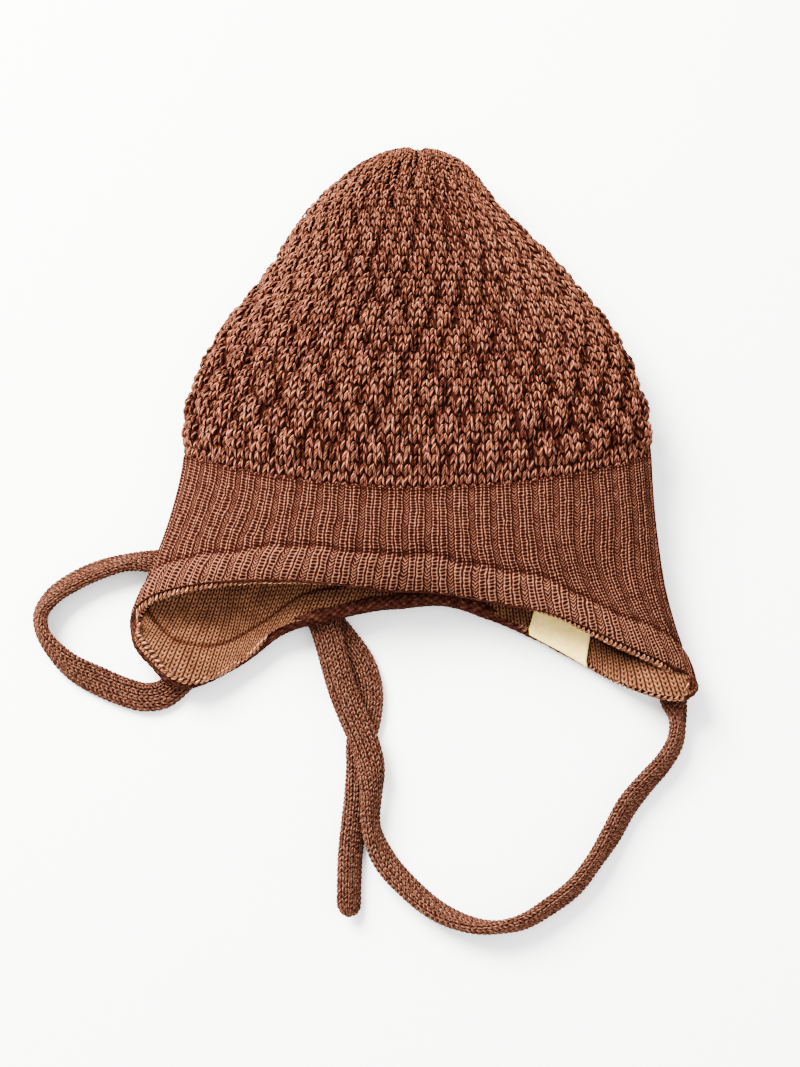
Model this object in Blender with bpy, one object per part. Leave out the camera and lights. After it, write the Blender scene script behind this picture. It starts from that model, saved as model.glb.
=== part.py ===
"""Knitted baby bonnet, lying flat with its mouth ajar and its two ties loose on the table.

Metres, +Z up. +Y runs from the mouth to the crown's tip, and the origin is under the
middle of the bonnet, on the table.
"""

import math

import bmesh
import bpy
import numpy as np
from mathutils import Vector

# Driving dimensions
BAND_WIDTH = 0.169
CROWN_LENGTH = 0.123
FLAP_DROP = 0.089
MOUTH_WIDTH = 0.2025
CROWN_DEPTH = 0.037
MOUTH_DEPTH = 0.027
KNIT_WALL = 0.0026
BUBBLE_RELIEF = 0.0017
RIB_RELIEF = 0.0008
LINING_WALL = 0.0016
LAYER_GAP = 0.0003
HEM_DEPTH = 0.012
HEM_DENT = 0.0009
ROLL_WIDTH = 0.0034
TIE_WIDTH = 0.0102
TIE_THICKNESS = 0.0046
LABEL_WIDTH = 0.0235
LABEL_DEPTH = 0.0105
LABEL_THICKNESS = 0.0008

# How many times each pattern goes round or up the bonnet, and the ties' facets
BUBBLES_ROUND = 32
BUBBLE_ROWS = 17
RIBS_ROUND = 44
TIE_SIDES = 10
TIE_STEP = 0.0065

# Shape of the lofts: droop of the near side, roundness of the far side and how hard it is
# pressed flat, growth of the band's width to its left and right, and of its height
DROOP_POWER = 1.5
BED_POWER = 4.5
BED_ROUNDNESS = 0.42
BED_PRESS = 1.03
LEFT_FLARE = 1.5
RIGHT_FLARE = 2.45
FOLD_DROP = 1.3
NEAR_DROP = 2.2
FAR_LIFT = 3.0
TIE_ROUNDNESS = 0.75

# Bubbles: how far those between two raised ones sink, and where they fade towards the tip
BUBBLE_SINK = 0.25
FADE_START = 0.45
FADE_REACH = 0.5
FADE_SHARE = 0.75
TIP_RISE = 0.975

# Rolled edge of the far wall: its middle round the bonnet, its reach, the share of the
# reach that is rolled in full, and the width of the edge where it isn't rolled
ROLL_CENTRE = 0.745
ROLL_REACH = 0.115
FULL_ROLL = 0.55
PLAIN_EDGE = 0.0009

# Label: its place round the bonnet, its lean, how far it hangs over the rim and droops there
LABEL_ROUND = 0.8745
LABEL_LEAN = 0.0105
LABEL_OVERHANG = 0.002
LABEL_DROOP = 0.0008
LABEL_COLUMNS = 4
LABEL_ROWS = 3

# Crown sections from the band's join to the tip. run: share of the way up;
# along: share of CROWN_LENGTH; left and right: shares of BAND_WIDTH from the middle line;
# top, fold: heights as shares of CROWN_DEPTH; bed: share of fold that the underside
# lifts off the table; sag: how far the near side droops, as a share of CROWN_LENGTH
CROWN_SECTIONS = (
    # run, along, left, right, top, fold, bed, sag
    (0.00, 0.000, -0.488, 0.513, 0.89, 0.36, 0.00, 0.155),
    (0.14, 0.178, -0.468, 0.489, 0.98, 0.38, 0.00, 0.120),
    (0.30, 0.373, -0.414, 0.437, 1.00, 0.39, 0.00, 0.085),
    (0.47, 0.571, -0.312, 0.335, 0.95, 0.39, 0.00, 0.050),
    (0.66, 0.791, -0.221, 0.197, 0.83, 0.37, 0.00, 0.020),
    (0.84, 0.955, -0.108, 0.118, 0.62, 0.33, 0.06, 0.000),
    (0.93, 0.994, -0.050, 0.068, 0.47, 0.31, 0.36, 0.000),
    (1.00, 1.006, 0.010, 0.010, 0.30, 0.30, 1.00, 0.000),
)

# Rim of the near wall from the right fold to the left fold. across: share of half
# MOUTH_WIDTH; down: share of FLAP_DROP below the join; up: share of MOUTH_DEPTH
NEAR_RIM = (
    # across, down, up
    (0.989, 0.942, 0.30),
    (0.952, 0.907, 0.48),
    (0.874, 0.881, 0.67),
    (0.764, 0.830, 0.74),
    (0.623, 0.764, 0.81),
    (0.508, 0.707, 0.81),
    (0.283, 0.644, 0.74),
    (0.097, 0.604, 0.70),
    (-0.086, 0.598, 0.78),
    (-0.268, 0.582, 0.93),
    (-0.453, 0.573, 1.00),
    (-0.580, 0.573, 1.00),
    (-0.684, 0.578, 0.96),
    (-0.800, 0.588, 0.85),
    (-0.894, 0.604, 0.70),
    (-0.958, 0.633, 0.52),
    (-0.989, 0.680, 0.35),
)

# Rim of the far wall from the left fold to the right fold, with the same columns.
# It clears the ties that pass under it and lies on the table elsewhere
FAR_RIM = (
    # across, down, up
    (-0.989, 0.680, 0.35),
    (-0.984, 0.730, 0.25),
    (-0.969, 0.775, 0.20),
    (-0.940, 0.822, 0.17),
    (-0.901, 0.869, 0.15),
    (-0.856, 0.914, 0.14),
    (-0.775, 0.934, 0.14),
    (-0.681, 0.903, 0.14),
    (-0.557, 0.821, 0.14),
    (-0.463, 0.743, 0.17),
    (-0.392, 0.712, 0.24),
    (-0.287, 0.684, 0.30),
    (-0.150, 0.645, 0.28),
    (-0.024, 0.625, 0.24),
    (0.128, 0.612, 0.19),
    (0.202, 0.634, 0.15),
    (0.291, 0.668, 0.11),
    (0.400, 0.718, 0.06),
    (0.603, 0.839, 0.01),
    (0.720, 0.916, 0.01),
    (0.798, 0.976, 0.04),
    (0.872, 1.010, 0.09),
    (0.936, 1.006, 0.15),
    (0.977, 0.977, 0.22),
    (0.989, 0.942, 0.30),
)

# Soft dents and swells of the near side. round: place round the bonnet, 0 at the right
# fold, 0.5 at the left; rise: -1 at the rim, 0 at the join, 1 at the tip; the two reaches
# in the same shares; depth: share of CROWN_DEPTH, negative for a swell
DENTS = (
    # round, rise, reach_round, reach_rise, depth
    (0.19, 0.34, 0.070, 0.16, 0.060),
    (0.26, -0.18, 0.060, 0.22, 0.050),
    (0.36, 0.30, 0.080, 0.22, -0.045),
    (0.24, 0.90, 0.060, 0.10, 0.050),
    (0.08, -0.62, 0.035, 0.16, 0.035),
    (0.13, -0.55, 0.030, 0.18, -0.035),
)

# Left tie, from under its ear flap, round to the left, under the bonnet and out to its
# free end. x and y in metres; lift above the table; turn: lean of the flat tube about its
# own length in degrees; press: share of TIE_THICKNESS that is left where it is pressed
LEFT_TIE_ROUTE = (
    # x, y, lift, turn, press
    (-0.0790, -0.0939, 0.0000, 0, 0.66),
    (-0.0836, -0.0995, 0.0000, 2, 0.70),
    (-0.0886, -0.1034, 0.0000, 10, 0.90),
    (-0.0945, -0.1042, 0.0000, 14, 1.00),
    (-0.1020, -0.1022, 0.0000, 16, 1.00),
    (-0.1110, -0.0984, 0.0000, 24, 1.00),
    (-0.1197, -0.0940, 0.0000, 42, 1.00),
    (-0.1264, -0.0882, 0.0000, 64, 1.00),
    (-0.1316, -0.0808, 0.0000, 78, 1.00),
    (-0.1324, -0.0742, 0.0000, 82, 1.00),
    (-0.1290, -0.0680, 0.0000, 78, 1.00),
    (-0.1209, -0.0617, 0.0000, 72, 1.00),
    (-0.1111, -0.0571, 0.0000, 68, 1.00),
    (-0.1017, -0.0547, 0.0000, 60, 1.00),
    (-0.0918, -0.0541, 0.0000, 22, 0.82),
    (-0.0765, -0.0545, 0.0000, 0, 0.70),
    (-0.0602, -0.0580, 0.0000, 0, 0.70),
    (-0.0446, -0.0642, 0.0000, 0, 0.70),
    (-0.0327, -0.0732, 0.0000, 0, 0.70),
    (-0.0240, -0.0832, 0.0000, 0, 0.72),
    (-0.0178, -0.0924, 0.0000, 0, 0.76),
    (-0.0153, -0.1016, 0.0000, 0, 0.80),
    (-0.0157, -0.1106, 0.0000, 0, 0.80),
    (-0.0180, -0.1203, 0.0000, 0, 0.76),
    (-0.0180, -0.1297, 0.0000, 6, 0.76),
    (-0.0188, -0.1393, 0.0000, 26, 0.84),
    (-0.0203, -0.1497, 0.0000, 40, 0.94),
    (-0.0213, -0.1599, 0.0000, 44, 1.00),
    (-0.0216, -0.1701, 0.0000, 46, 1.00),
    (-0.0216, -0.1808, 0.0000, 46, 1.00),
)

# Right tie, from under its ear flap, round the loop in front, over the left tie and in
# under the bonnet, where it ends. Same columns
RIGHT_TIE_ROUTE = (
    # x, y, lift, turn, press
    (0.0920, -0.0995, 0.0000, 0, 0.66),
    (0.0925, -0.1063, 0.0000, 22, 0.84),
    (0.0932, -0.1134, 0.0000, 62, 1.00),
    (0.0920, -0.1208, 0.0000, 66, 1.00),
    (0.0878, -0.1278, 0.0000, 66, 1.00),
    (0.0813, -0.1349, 0.0000, 62, 1.00),
    (0.0745, -0.1430, 0.0000, 56, 1.00),
    (0.0687, -0.1529, 0.0000, 58, 1.00),
    (0.0625, -0.1622, 0.0000, 70, 1.00),
    (0.0556, -0.1709, 0.0000, 70, 1.00),
    (0.0469, -0.1775, 0.0000, 74, 1.00),
    (0.0364, -0.1833, 0.0000, 84, 1.00),
    (0.0251, -0.1847, 0.0000, 106, 1.00),
    (0.0108, -0.1804, 0.0000, 122, 1.00),
    (-0.0015, -0.1710, 0.0000, 130, 1.00),
    (-0.0099, -0.1612, 0.0000, 132, 1.00),
    (-0.0142, -0.1502, 0.0004, 118, 1.00),
    (-0.0142, -0.1396, 0.0026, 128, 0.94),
    (-0.0143, -0.1303, 0.0042, 158, 0.86),
    (-0.0166, -0.1213, 0.0044, 180, 0.80),
    (-0.0208, -0.1117, 0.0042, 180, 0.80),
    (-0.0246, -0.1019, 0.0042, 180, 0.80),
    (-0.0274, -0.0924, 0.0042, 180, 0.78),
    (-0.0300, -0.0829, 0.0039, 180, 0.72),
    (-0.0338, -0.0735, 0.0037, 180, 0.70),
    (-0.0395, -0.0650, 0.0037, 180, 0.70),
    (-0.0466, -0.0570, 0.0034, 180, 0.70),
    (-0.0535, -0.0490, 0.0010, 180, 0.70),
    (-0.0585, -0.0420, 0.0000, 180, 0.70),
)

# Materials: colour, roughness
RUST_MARL = (0.236, 0.086, 0.045)
CARAMEL = (0.300, 0.125, 0.058)
CREAM = (0.820, 0.730, 0.520)
YARN_ROUGHNESS = 0.9

JOIN_Y = (FLAP_DROP - CROWN_LENGTH) / 2
JOIN_EDGE = LAYER_GAP / 2 / CROWN_LENGTH
LINING_OUT = KNIT_WALL + LAYER_GAP
LINING_IN = LINING_OUT + LINING_WALL
LABEL_DOWN = LINING_IN + LAYER_GAP * 2

# Fine points along half a crown section and along half the rim
SECTION_POINTS = 97
RIM_POINTS = 161
LAST_SECTION = 0.999


def clear_scene():
    for item in list(bpy.data.objects):
        bpy.data.objects.remove(item)


def smooth_column(table, column, at, key=0):
    """Smooth curve through one column of a table, read at the given key values."""
    keys = np.array([row[key] for row in table], dtype=float)
    values = np.array([row[column] for row in table], dtype=float)
    slopes = np.gradient(values, keys)
    at = np.clip(np.asarray(at, dtype=float), keys[0], keys[-1])
    low = np.clip(np.searchsorted(keys, at, side="right") - 1, 0, len(keys) - 2)
    span = keys[low + 1] - keys[low]
    t = (at - keys[low]) / span
    start = (2 * t**3 - 3 * t**2 + 1) * values[low] + (t**3 - 2 * t**2 + t) * span * slopes[low]
    end = (3 * t**2 - 2 * t**3) * values[low + 1] + (t**3 - t**2) * span * slopes[low + 1]
    return start + end


def ease(x):
    x = np.clip(x, 0.0, 1.0)
    return x * x * (3 - 2 * x)


# Flat-lying sections of the crown
def section_half(run, near):
    """Fine points along one half of the section: near wall right to left, far wall left to right."""
    turn = np.linspace(0, math.pi, SECTION_POINTS)
    if not near:
        turn = turn[::-1]
    span = np.cos(turn)
    along, left, right, top, fold, bed, sag = (
        float(smooth_column(CROWN_SECTIONS, column, run)) for column in range(1, 8))
    middle = (right + left) / 2 * BAND_WIDTH
    half = (right - left) / 2 * BAND_WIDTH
    fold_z = fold * CROWN_DEPTH
    if near:
        dome = np.sin(turn)
        z = fold_z + (top - fold) * CROWN_DEPTH * dome
        droop = sag * CROWN_LENGTH * dome**DROOP_POWER
    else:
        bowl = np.minimum((1 - np.abs(span) ** BED_POWER) ** BED_ROUNDNESS * BED_PRESS, 1.0)
        z = fold_z - fold_z * (1 - bed) * bowl
        droop = np.zeros_like(turn)
    y = JOIN_Y + along * CROWN_LENGTH - droop
    return np.stack([middle + half * span, y, z], axis=1)


def along_line(points, shares):
    """Points at the given shares of a line's length."""
    steps = np.linalg.norm(np.diff(points, axis=0), axis=1)
    length = np.concatenate([[0.0], np.cumsum(steps)])
    wanted = np.asarray(shares) * length[-1]
    return np.stack([np.interp(wanted, length, points[:, k]) for k in range(3)], axis=1)


def both_walls(near_line, far_line, rounds):
    """Points round the bonnet: near wall from 0 to 0.5, far wall from 0.5 to 1."""
    rounds = np.asarray(rounds, dtype=float) % 1.0
    near = along_line(near_line, np.clip(rounds * 2, 0, 1))
    far = along_line(far_line, np.clip(rounds * 2 - 1, 0, 1))
    return np.where((rounds < 0.5)[:, None], near, far)


def crown_loop(rounds, run):
    run = min(run, LAST_SECTION)
    return both_walls(section_half(run, True), section_half(run, False), rounds)


# The rim
def rim_half(table):
    rows = np.array(table)
    key = np.concatenate([[0.0], np.cumsum(np.linalg.norm(np.diff(rows, axis=0), axis=1))])
    keyed = [(key[i], *table[i]) for i in range(len(table))]
    at = np.linspace(0, key[-1], RIM_POINTS)
    across, down, up = (smooth_column(keyed, column, at) for column in (1, 2, 3))
    return np.stack([across * MOUTH_WIDTH / 2, JOIN_Y - down * FLAP_DROP, up * MOUTH_DEPTH], axis=1)


NEAR_RIM_LINE = rim_half(NEAR_RIM)
FAR_RIM_LINE = rim_half(FAR_RIM)


def rim_loop(rounds):
    return both_walls(NEAR_RIM_LINE, FAR_RIM_LINE, rounds)


# The band, lofted from the join to the rim
def band_loop(rounds, share):
    """Points round the band, share 0 at the join and 1 at the rim."""
    rounds = np.asarray(rounds, dtype=float) % 1.0
    join = crown_loop(rounds, 0.0)
    rim = rim_loop(rounds)
    side = (np.cos(2 * math.pi * rounds) + 1) / 2
    flare = LEFT_FLARE + (RIGHT_FLARE - LEFT_FLARE) * side
    height = np.sin(2 * math.pi * rounds)
    bend = FOLD_DROP + np.where(height > 0, NEAR_DROP - FOLD_DROP, FOLD_DROP - FAR_LIFT) * height
    x = join[:, 0] + (rim[:, 0] - join[:, 0]) * share**flare
    y = join[:, 1] + (rim[:, 1] - join[:, 1]) * share
    z = join[:, 2] + (rim[:, 2] - join[:, 2]) * share**bend
    return np.stack([x, y, z], axis=1)


# Where the ties run
def tie_centre(route, at):
    """Smooth line through a tie's route, at the given lengths along its points."""
    rows = np.array(route)
    steps = np.linalg.norm(np.diff(rows[:, :2], axis=0), axis=1)
    key = np.concatenate([[0.0], np.cumsum(steps)])
    keyed = [(key[i], *route[i]) for i in range(len(route))]
    at = np.asarray(at) * key[-1]
    return np.stack([smooth_column(keyed, column, at) for column in range(1, 6)], axis=1)


def tie_outline(press):
    """The flat tube's cross-section: a rounded oval, flatter where it is pressed."""
    outline = []
    for k in range(TIE_SIDES):
        a = 2 * math.pi * k / TIE_SIDES
        wide = math.copysign(abs(math.cos(a)) ** TIE_ROUNDNESS, math.cos(a)) * TIE_WIDTH / 2
        thick = math.copysign(abs(math.sin(a)) ** TIE_ROUNDNESS, math.sin(a)) * TIE_THICKNESS / 2 * press
        outline.append((wide, thick))
    return np.array(outline)


def tie_rings(route, step):
    """Cross-sections along a tie, each one resting at its own lift above the table."""
    length = float(np.sum(np.linalg.norm(np.diff(np.array(route)[:, :2], axis=0), axis=1)))
    count = int(round(length / step)) + 1
    rows = tie_centre(route, np.linspace(0, 1, count))
    ahead = np.gradient(rows[:, :2], axis=0)
    ahead /= np.linalg.norm(ahead, axis=1)[:, None]
    rings = []
    for (x, y, lift, turn, press), (ax, ay) in zip(rows, ahead):
        lean = math.radians(turn)
        outline = tie_outline(press)
        sideways = outline[:, 0] * math.cos(lean) - outline[:, 1] * math.sin(lean)
        upward = outline[:, 0] * math.sin(lean) + outline[:, 1] * math.cos(lean)
        centre_z = max(lift, 0.0) - upward.min()
        ring = np.stack([x + sideways * ay, y - sideways * ax, centre_z + upward], axis=1)
        rings.append(ring)
    return rings


# The far wall is lifted where a tie passes under it, over its width, a margin and a fade
LIFT_MARGIN = 0.007
LIFT_FADE = 0.018
LIFT_SOFTEN = 5
LIFT_CLEARANCE = LAYER_GAP * 1.5


def tie_crests():
    """Place and top of each stretch of tie that the bonnet may lie on."""
    crests = []
    for route in (LEFT_TIE_ROUTE, RIGHT_TIE_ROUTE):
        for ring in tie_rings(route, TIE_STEP / 2):
            centre = ring.mean(axis=0)
            crests.append((centre[0], centre[1], ring[:, 2].max() + LIFT_CLEARANCE))
    return np.array(crests)


CRESTS = tie_crests()


def lift_over_ties(points):
    """Height that the far wall needs at these points to clear the ties."""
    away = np.linalg.norm(points[:, None, :2] - CRESTS[None, :, :2], axis=2)
    fade = 1 - ease((away - TIE_WIDTH / 2 - LIFT_MARGIN) / LIFT_FADE)
    return (CRESTS[None, :, 2] * fade).max(axis=1)


def dents(rounds, rise):
    """Inward depth of the soft dents at these places."""
    depth = np.zeros(len(rounds))
    for round_at, rise_at, reach_round, reach_rise, share in DENTS:
        away = ((rounds - round_at) / reach_round) ** 2 + ((rise - rise_at) / reach_rise) ** 2
        depth += share * CROWN_DEPTH * np.exp(-away)
    return depth


def surface(rounds, rise):
    """Outer face of the knit before its relief, rise from -1 at the rim to 1 at the tip."""
    rounds = np.asarray(rounds, dtype=float) % 1.0
    points = crown_loop(rounds, rise) if rise >= 0 else band_loop(rounds, -rise)
    near = ease(np.sin(2 * math.pi * rounds) * 4)
    points[:, 2] -= dents(rounds, rise) * near
    return points


# The outer face as a fine grid of places and outward directions
GRID_COLUMNS = 528
GRID_RISES = np.linspace(-1.0, 1.0, 321)


def soften(field, steps, axis):
    """Running mean of a field, closed round the bonnet and held at the rim and the tip."""
    mode = "wrap" if axis == 1 else "edge"
    pad = [(0, 0), (0, 0)]
    pad[axis] = (steps, steps)
    wide = np.pad(field, pad, mode=mode)
    shifted = [np.take(wide, range(k, k + field.shape[axis]), axis=axis) for k in range(2 * steps + 1)]
    return sum(shifted) / len(shifted)


def face_grid():
    rounds = np.arange(GRID_COLUMNS) / GRID_COLUMNS
    places = np.stack([surface(rounds, rise) for rise in GRID_RISES])
    low = rounds > 0.5
    needed = [np.maximum(lift_over_ties(row) - row[:, 2], 0.0) for row in places]
    lift = np.where(low, np.stack(needed), 0.0)
    for _ in range(2):
        lift = soften(soften(lift, LIFT_SOFTEN, 1), LIFT_SOFTEN, 0)
    places[:, :, 2] += lift
    up = np.gradient(places, axis=0)
    on = np.roll(places, -2, axis=1) - np.roll(places, 2, axis=1)
    out = np.cross(up, on)
    out[-1] = np.array([0.0, 1.0, 0.0])
    return places, out / np.linalg.norm(out, axis=2)[:, :, None]


FACE_PLACES, FACE_DIRECTIONS = face_grid()
TIP = FACE_PLACES[-1].mean(axis=0)


def read_grid(grid, rounds, rises):
    across = (np.asarray(rounds, dtype=float) % 1.0) * GRID_COLUMNS
    down = (np.clip(rises, -1.0, 1.0) + 1.0) / 2 * (len(GRID_RISES) - 1)
    left = np.floor(across).astype(int)
    low = np.minimum(np.floor(down).astype(int), len(GRID_RISES) - 2)
    u = (across - left)[:, None]
    v = (down - low)[:, None]
    left = left % GRID_COLUMNS
    right = (left + 1) % GRID_COLUMNS
    lower = grid[low, left] * (1 - u) + grid[low, right] * u
    upper = grid[low + 1, left] * (1 - u) + grid[low + 1, right] * u
    return lower * (1 - v) + upper * v


def layer(rounds, rises, depth):
    """Points at a depth under the outer face, or above it where the depth is negative."""
    rounds = np.asarray(rounds, dtype=float)
    rises = np.broadcast_to(np.asarray(rises, dtype=float), rounds.shape)
    depth = np.broadcast_to(np.asarray(depth, dtype=float), rounds.shape)
    out = read_grid(FACE_DIRECTIONS, rounds, rises)
    out /= np.linalg.norm(out, axis=1)[:, None]
    points = read_grid(FACE_PLACES, rounds, rises) - out * depth[:, None]
    points[:, 2] = np.maximum(points[:, 2], 0.0)
    return points


def band_length(rounds):
    return np.linalg.norm(rim_loop(rounds) - crown_loop(rounds, 0.0), axis=1)


def rounds_of(count):
    return np.arange(count) / count


# Meshes
def new_object(name, bm, colour):
    bmesh.ops.recalc_face_normals(bm, faces=bm.faces)
    mesh = bpy.data.meshes.new(name)
    bm.to_mesh(mesh)
    bm.free()
    material = bpy.data.materials.new(name)
    material.use_nodes = True
    shader = material.node_tree.nodes["Principled BSDF"]
    shader.inputs["Base Color"].default_value = (*colour, 1.0)
    shader.inputs["Roughness"].default_value = YARN_ROUGHNESS
    shader.inputs["Metallic"].default_value = 0.0
    mesh.materials.append(material)
    mesh.shade_smooth()
    item = bpy.data.objects.new(name, mesh)
    bpy.context.collection.objects.link(item)
    return item


def add_loop(bm, points):
    return [bm.verts.new(Vector(point)) for point in points]


def skin_loops(bm, first, second, first_leans=None):
    """Triangles between two closed loops, which may differ in how many points they have.

    Where they have as many points, first_leans says for each pair of columns that the
    diagonal starts at the first column of the second loop.
    """
    count = len(first)
    if count == len(second):
        for k in range(count):
            a, b = first[k], first[(k + 1) % count]
            c, d = second[(k + 1) % count], second[k]
            if first_leans is not None and first_leans[k]:
                corners = ((a, b, d), (b, c, d))
            else:
                corners = ((a, b, c), (a, c, d))
            for corner in corners:
                bm.faces.new(corner)
        return
    i = 0
    j = 0
    while i < count or j < len(second):
        a = first[i % count]
        b = second[j % len(second)]
        if j >= len(second) or (i < count and (i + 1) * len(second) <= (j + 1) * count):
            bm.faces.new((a, first[(i + 1) % count], b))
            i += 1
        else:
            bm.faces.new((a, second[(j + 1) % len(second)], b))
            j += 1


def skin_stack(bm, loops, leans=None):
    for row, (lower, upper) in enumerate(zip(loops, loops[1:])):
        skin_loops(bm, lower, upper, leans(row) if leans else None)


def close_with_point(bm, loop, point):
    tip = bm.verts.new(Vector(point))
    for k, vert in enumerate(loop):
        bm.faces.new((vert, loop[(k + 1) % len(loop)], tip))


# Heights over which the relief comes in above the table
PRESSED_HEIGHT = 0.0004
FREE_HEIGHT = 0.004

# Rows shared by the inner faces and the lining, so that the layers keep their gap
CROWN_INNER_RISES = (0.10, 0.22, 0.36, 0.50, 0.64, 0.76, 0.86, 0.94)
BAND_INNER_SHARES = (0.18, 0.36, 0.54, 0.72, 0.87, 0.98)

# Outer rows of the band: shares of the way to the hem's sewn line, then of the hem
BAND_OUTER_SHARES = (0.0, 0.2, 0.41, 0.63, 0.83, 1.0)
HEM_TOP = 0.94
HEM_SHARES = (0.35, 0.80)
EDGE_DENT = 0.2
EDGE_RELIEF = 0.5
EDGE_WALL = 0.85
ROLL_STEP = 0.0003
LINING_TURN = 0.12


def pressed(points):
    """Share of its relief that the knit keeps, none where the bonnet lies on the table."""
    return ease((points[:, 2] - PRESSED_HEIGHT) / FREE_HEIGHT)


def bubble_loop(row):
    """One row of bubbles: every second column raised, staggered from row to row."""
    count = BUBBLES_ROUND * 2
    rounds = rounds_of(count)
    if row == 0:
        return layer(rounds, JOIN_EDGE, 0.0)
    rise = row / BUBBLE_ROWS
    raised = (np.arange(count) + row) % 2 == 0
    size = BUBBLE_RELIEF * (1 - FADE_SHARE * ease((rise - FADE_START) / FADE_REACH))
    near_table = pressed(layer(rounds, rise, 0.0))
    return layer(rounds, rise, np.where(raised, -size, size * BUBBLE_SINK) * near_table)


def make_crown():
    bm = bmesh.new()
    outer = [add_loop(bm, bubble_loop(row)) for row in range(BUBBLE_ROWS)]
    outer.append(add_loop(bm, layer(rounds_of(BUBBLES_ROUND * 2), TIP_RISE, 0.0)))
    skin_stack(bm, outer, lambda row: (np.arange(BUBBLES_ROUND * 2) + row) % 2 == 0)
    close_with_point(bm, outer[-1], TIP)
    rounds = rounds_of(RIBS_ROUND)
    inner = [add_loop(bm, layer(rounds, rise, KNIT_WALL)) for rise in (JOIN_EDGE, *CROWN_INNER_RISES)]
    skin_stack(bm, inner)
    close_with_point(bm, inner[-1], TIP - np.array([0.0, KNIT_WALL, 0.0]))
    skin_loops(bm, inner[0], outer[0])
    return new_object("crown", bm, RUST_MARL)


# Turned hem and rolled edge
def hem_share(rounds):
    """Where the hem's sewn line lies, as a share of the band."""
    return 1 - HEM_DEPTH / band_length(rounds)


def roll_amount(rounds):
    """How much the edge is rolled inward over the lining: all of it in the far wall's middle."""
    away = np.abs(rounds - ROLL_CENTRE) / ROLL_REACH
    return 1 - ease((away - FULL_ROLL) / (1 - FULL_ROLL))


def roll_share(rounds):
    """Where the rolled edge starts, as a share of the band."""
    width = PLAIN_EDGE + (ROLL_WIDTH - PLAIN_EDGE) * roll_amount(rounds)
    return 1 - width / band_length(rounds)


def band_layer(rounds, shares, depth):
    """Points at a depth under the band's face, each column at its own share of the band."""
    return layer(rounds, -np.asarray(shares, dtype=float), depth)


def rib_loop(shares, dent=0.0, relief=1.0):
    rounds = rounds_of(RIBS_ROUND * 2)
    shares = np.broadcast_to(np.asarray(shares, dtype=float), rounds.shape)
    base = band_layer(rounds, shares, 0.0)
    ridge = np.where(np.arange(len(rounds)) % 2 == 0, 0.5, -0.5) * RIB_RELIEF * relief
    return band_layer(rounds, shares, (dent - ridge) * pressed(base))


def inner_share(rounds, share):
    """Rows of the inner faces, closed up so that the last one stays above the rolled edge."""
    last = roll_share(rounds) - LAYER_GAP * 3 / band_length(rounds)
    return last * share / BAND_INNER_SHARES[-1]


def make_band():
    bm = bmesh.new()
    rounds = rounds_of(RIBS_ROUND * 2)
    hem = hem_share(rounds)
    edge = JOIN_EDGE * CROWN_LENGTH / band_length(rounds)
    loops = [rib_loop(edge + (hem * HEM_TOP - edge) * share) for share in BAND_OUTER_SHARES]
    loops.append(rib_loop(hem, dent=HEM_DENT))
    loops += [rib_loop(hem + (1 - hem) * share) for share in HEM_SHARES]
    loops.append(rib_loop(np.ones_like(rounds), dent=KNIT_WALL * EDGE_DENT, relief=EDGE_RELIEF))
    outer = [add_loop(bm, loop) for loop in loops]
    skin_stack(bm, outer)
    rounds = rounds_of(RIBS_ROUND)
    rolled = (LAYER_GAP + LINING_WALL) * roll_amount(rounds)
    start = roll_share(rounds)
    edge = JOIN_EDGE * CROWN_LENGTH / band_length(rounds)
    inner = [add_loop(bm, band_layer(rounds, edge, KNIT_WALL))]
    for share in BAND_INNER_SHARES:
        inner.append(add_loop(bm, band_layer(rounds, inner_share(rounds, share), KNIT_WALL)))
    inner.append(add_loop(bm, band_layer(rounds, start - ROLL_STEP / band_length(rounds), KNIT_WALL)))
    inner.append(add_loop(bm, band_layer(rounds, start, KNIT_WALL + rolled)))
    inner.append(add_loop(bm, band_layer(rounds, 1.0, (KNIT_WALL + rolled) * EDGE_WALL)))
    skin_stack(bm, inner)
    skin_loops(bm, inner[0], outer[0])
    skin_loops(bm, outer[-1], inner[-1])
    return new_object("band", bm, RUST_MARL)


def lining_end(rounds):
    """The lining runs to the rim, and stops short of the rolled edge where there is one."""
    beside = 1 / RIBS_ROUND
    amount = np.maximum(roll_amount(rounds - beside), roll_amount(rounds + beside))
    short = (1 - roll_share(rounds)) * band_length(rounds) + LAYER_GAP * 1.6
    return 1 - short * ease(amount / LINING_TURN) / band_length(rounds)


def make_lining():
    bm = bmesh.new()
    rounds = rounds_of(RIBS_ROUND)
    edges = []
    for depth in (LINING_OUT, LINING_IN):
        join = add_loop(bm, layer(rounds, 0.0, depth))
        upper = [add_loop(bm, layer(rounds, rise, depth)) for rise in CROWN_INNER_RISES]
        lower = [add_loop(bm, band_layer(rounds, inner_share(rounds, share), depth))
                 for share in BAND_INNER_SHARES]
        lower.append(add_loop(bm, band_layer(rounds, lining_end(rounds), depth)))
        skin_stack(bm, [join, *upper])
        skin_stack(bm, [join, *lower])
        close_with_point(bm, upper[-1], TIP - np.array([0.0, depth, 0.0]))
        edges.append(lower[-1])
    skin_loops(bm, edges[0], edges[1])
    return new_object("lining", bm, CARAMEL)


def make_tie(name, route):
    bm = bmesh.new()
    rings = [add_loop(bm, ring) for ring in tie_rings(route, TIE_STEP)]
    skin_stack(bm, rings)
    bm.faces.new(rings[0])
    bm.faces.new(rings[-1])
    return new_object(name, bm, RUST_MARL)


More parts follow.
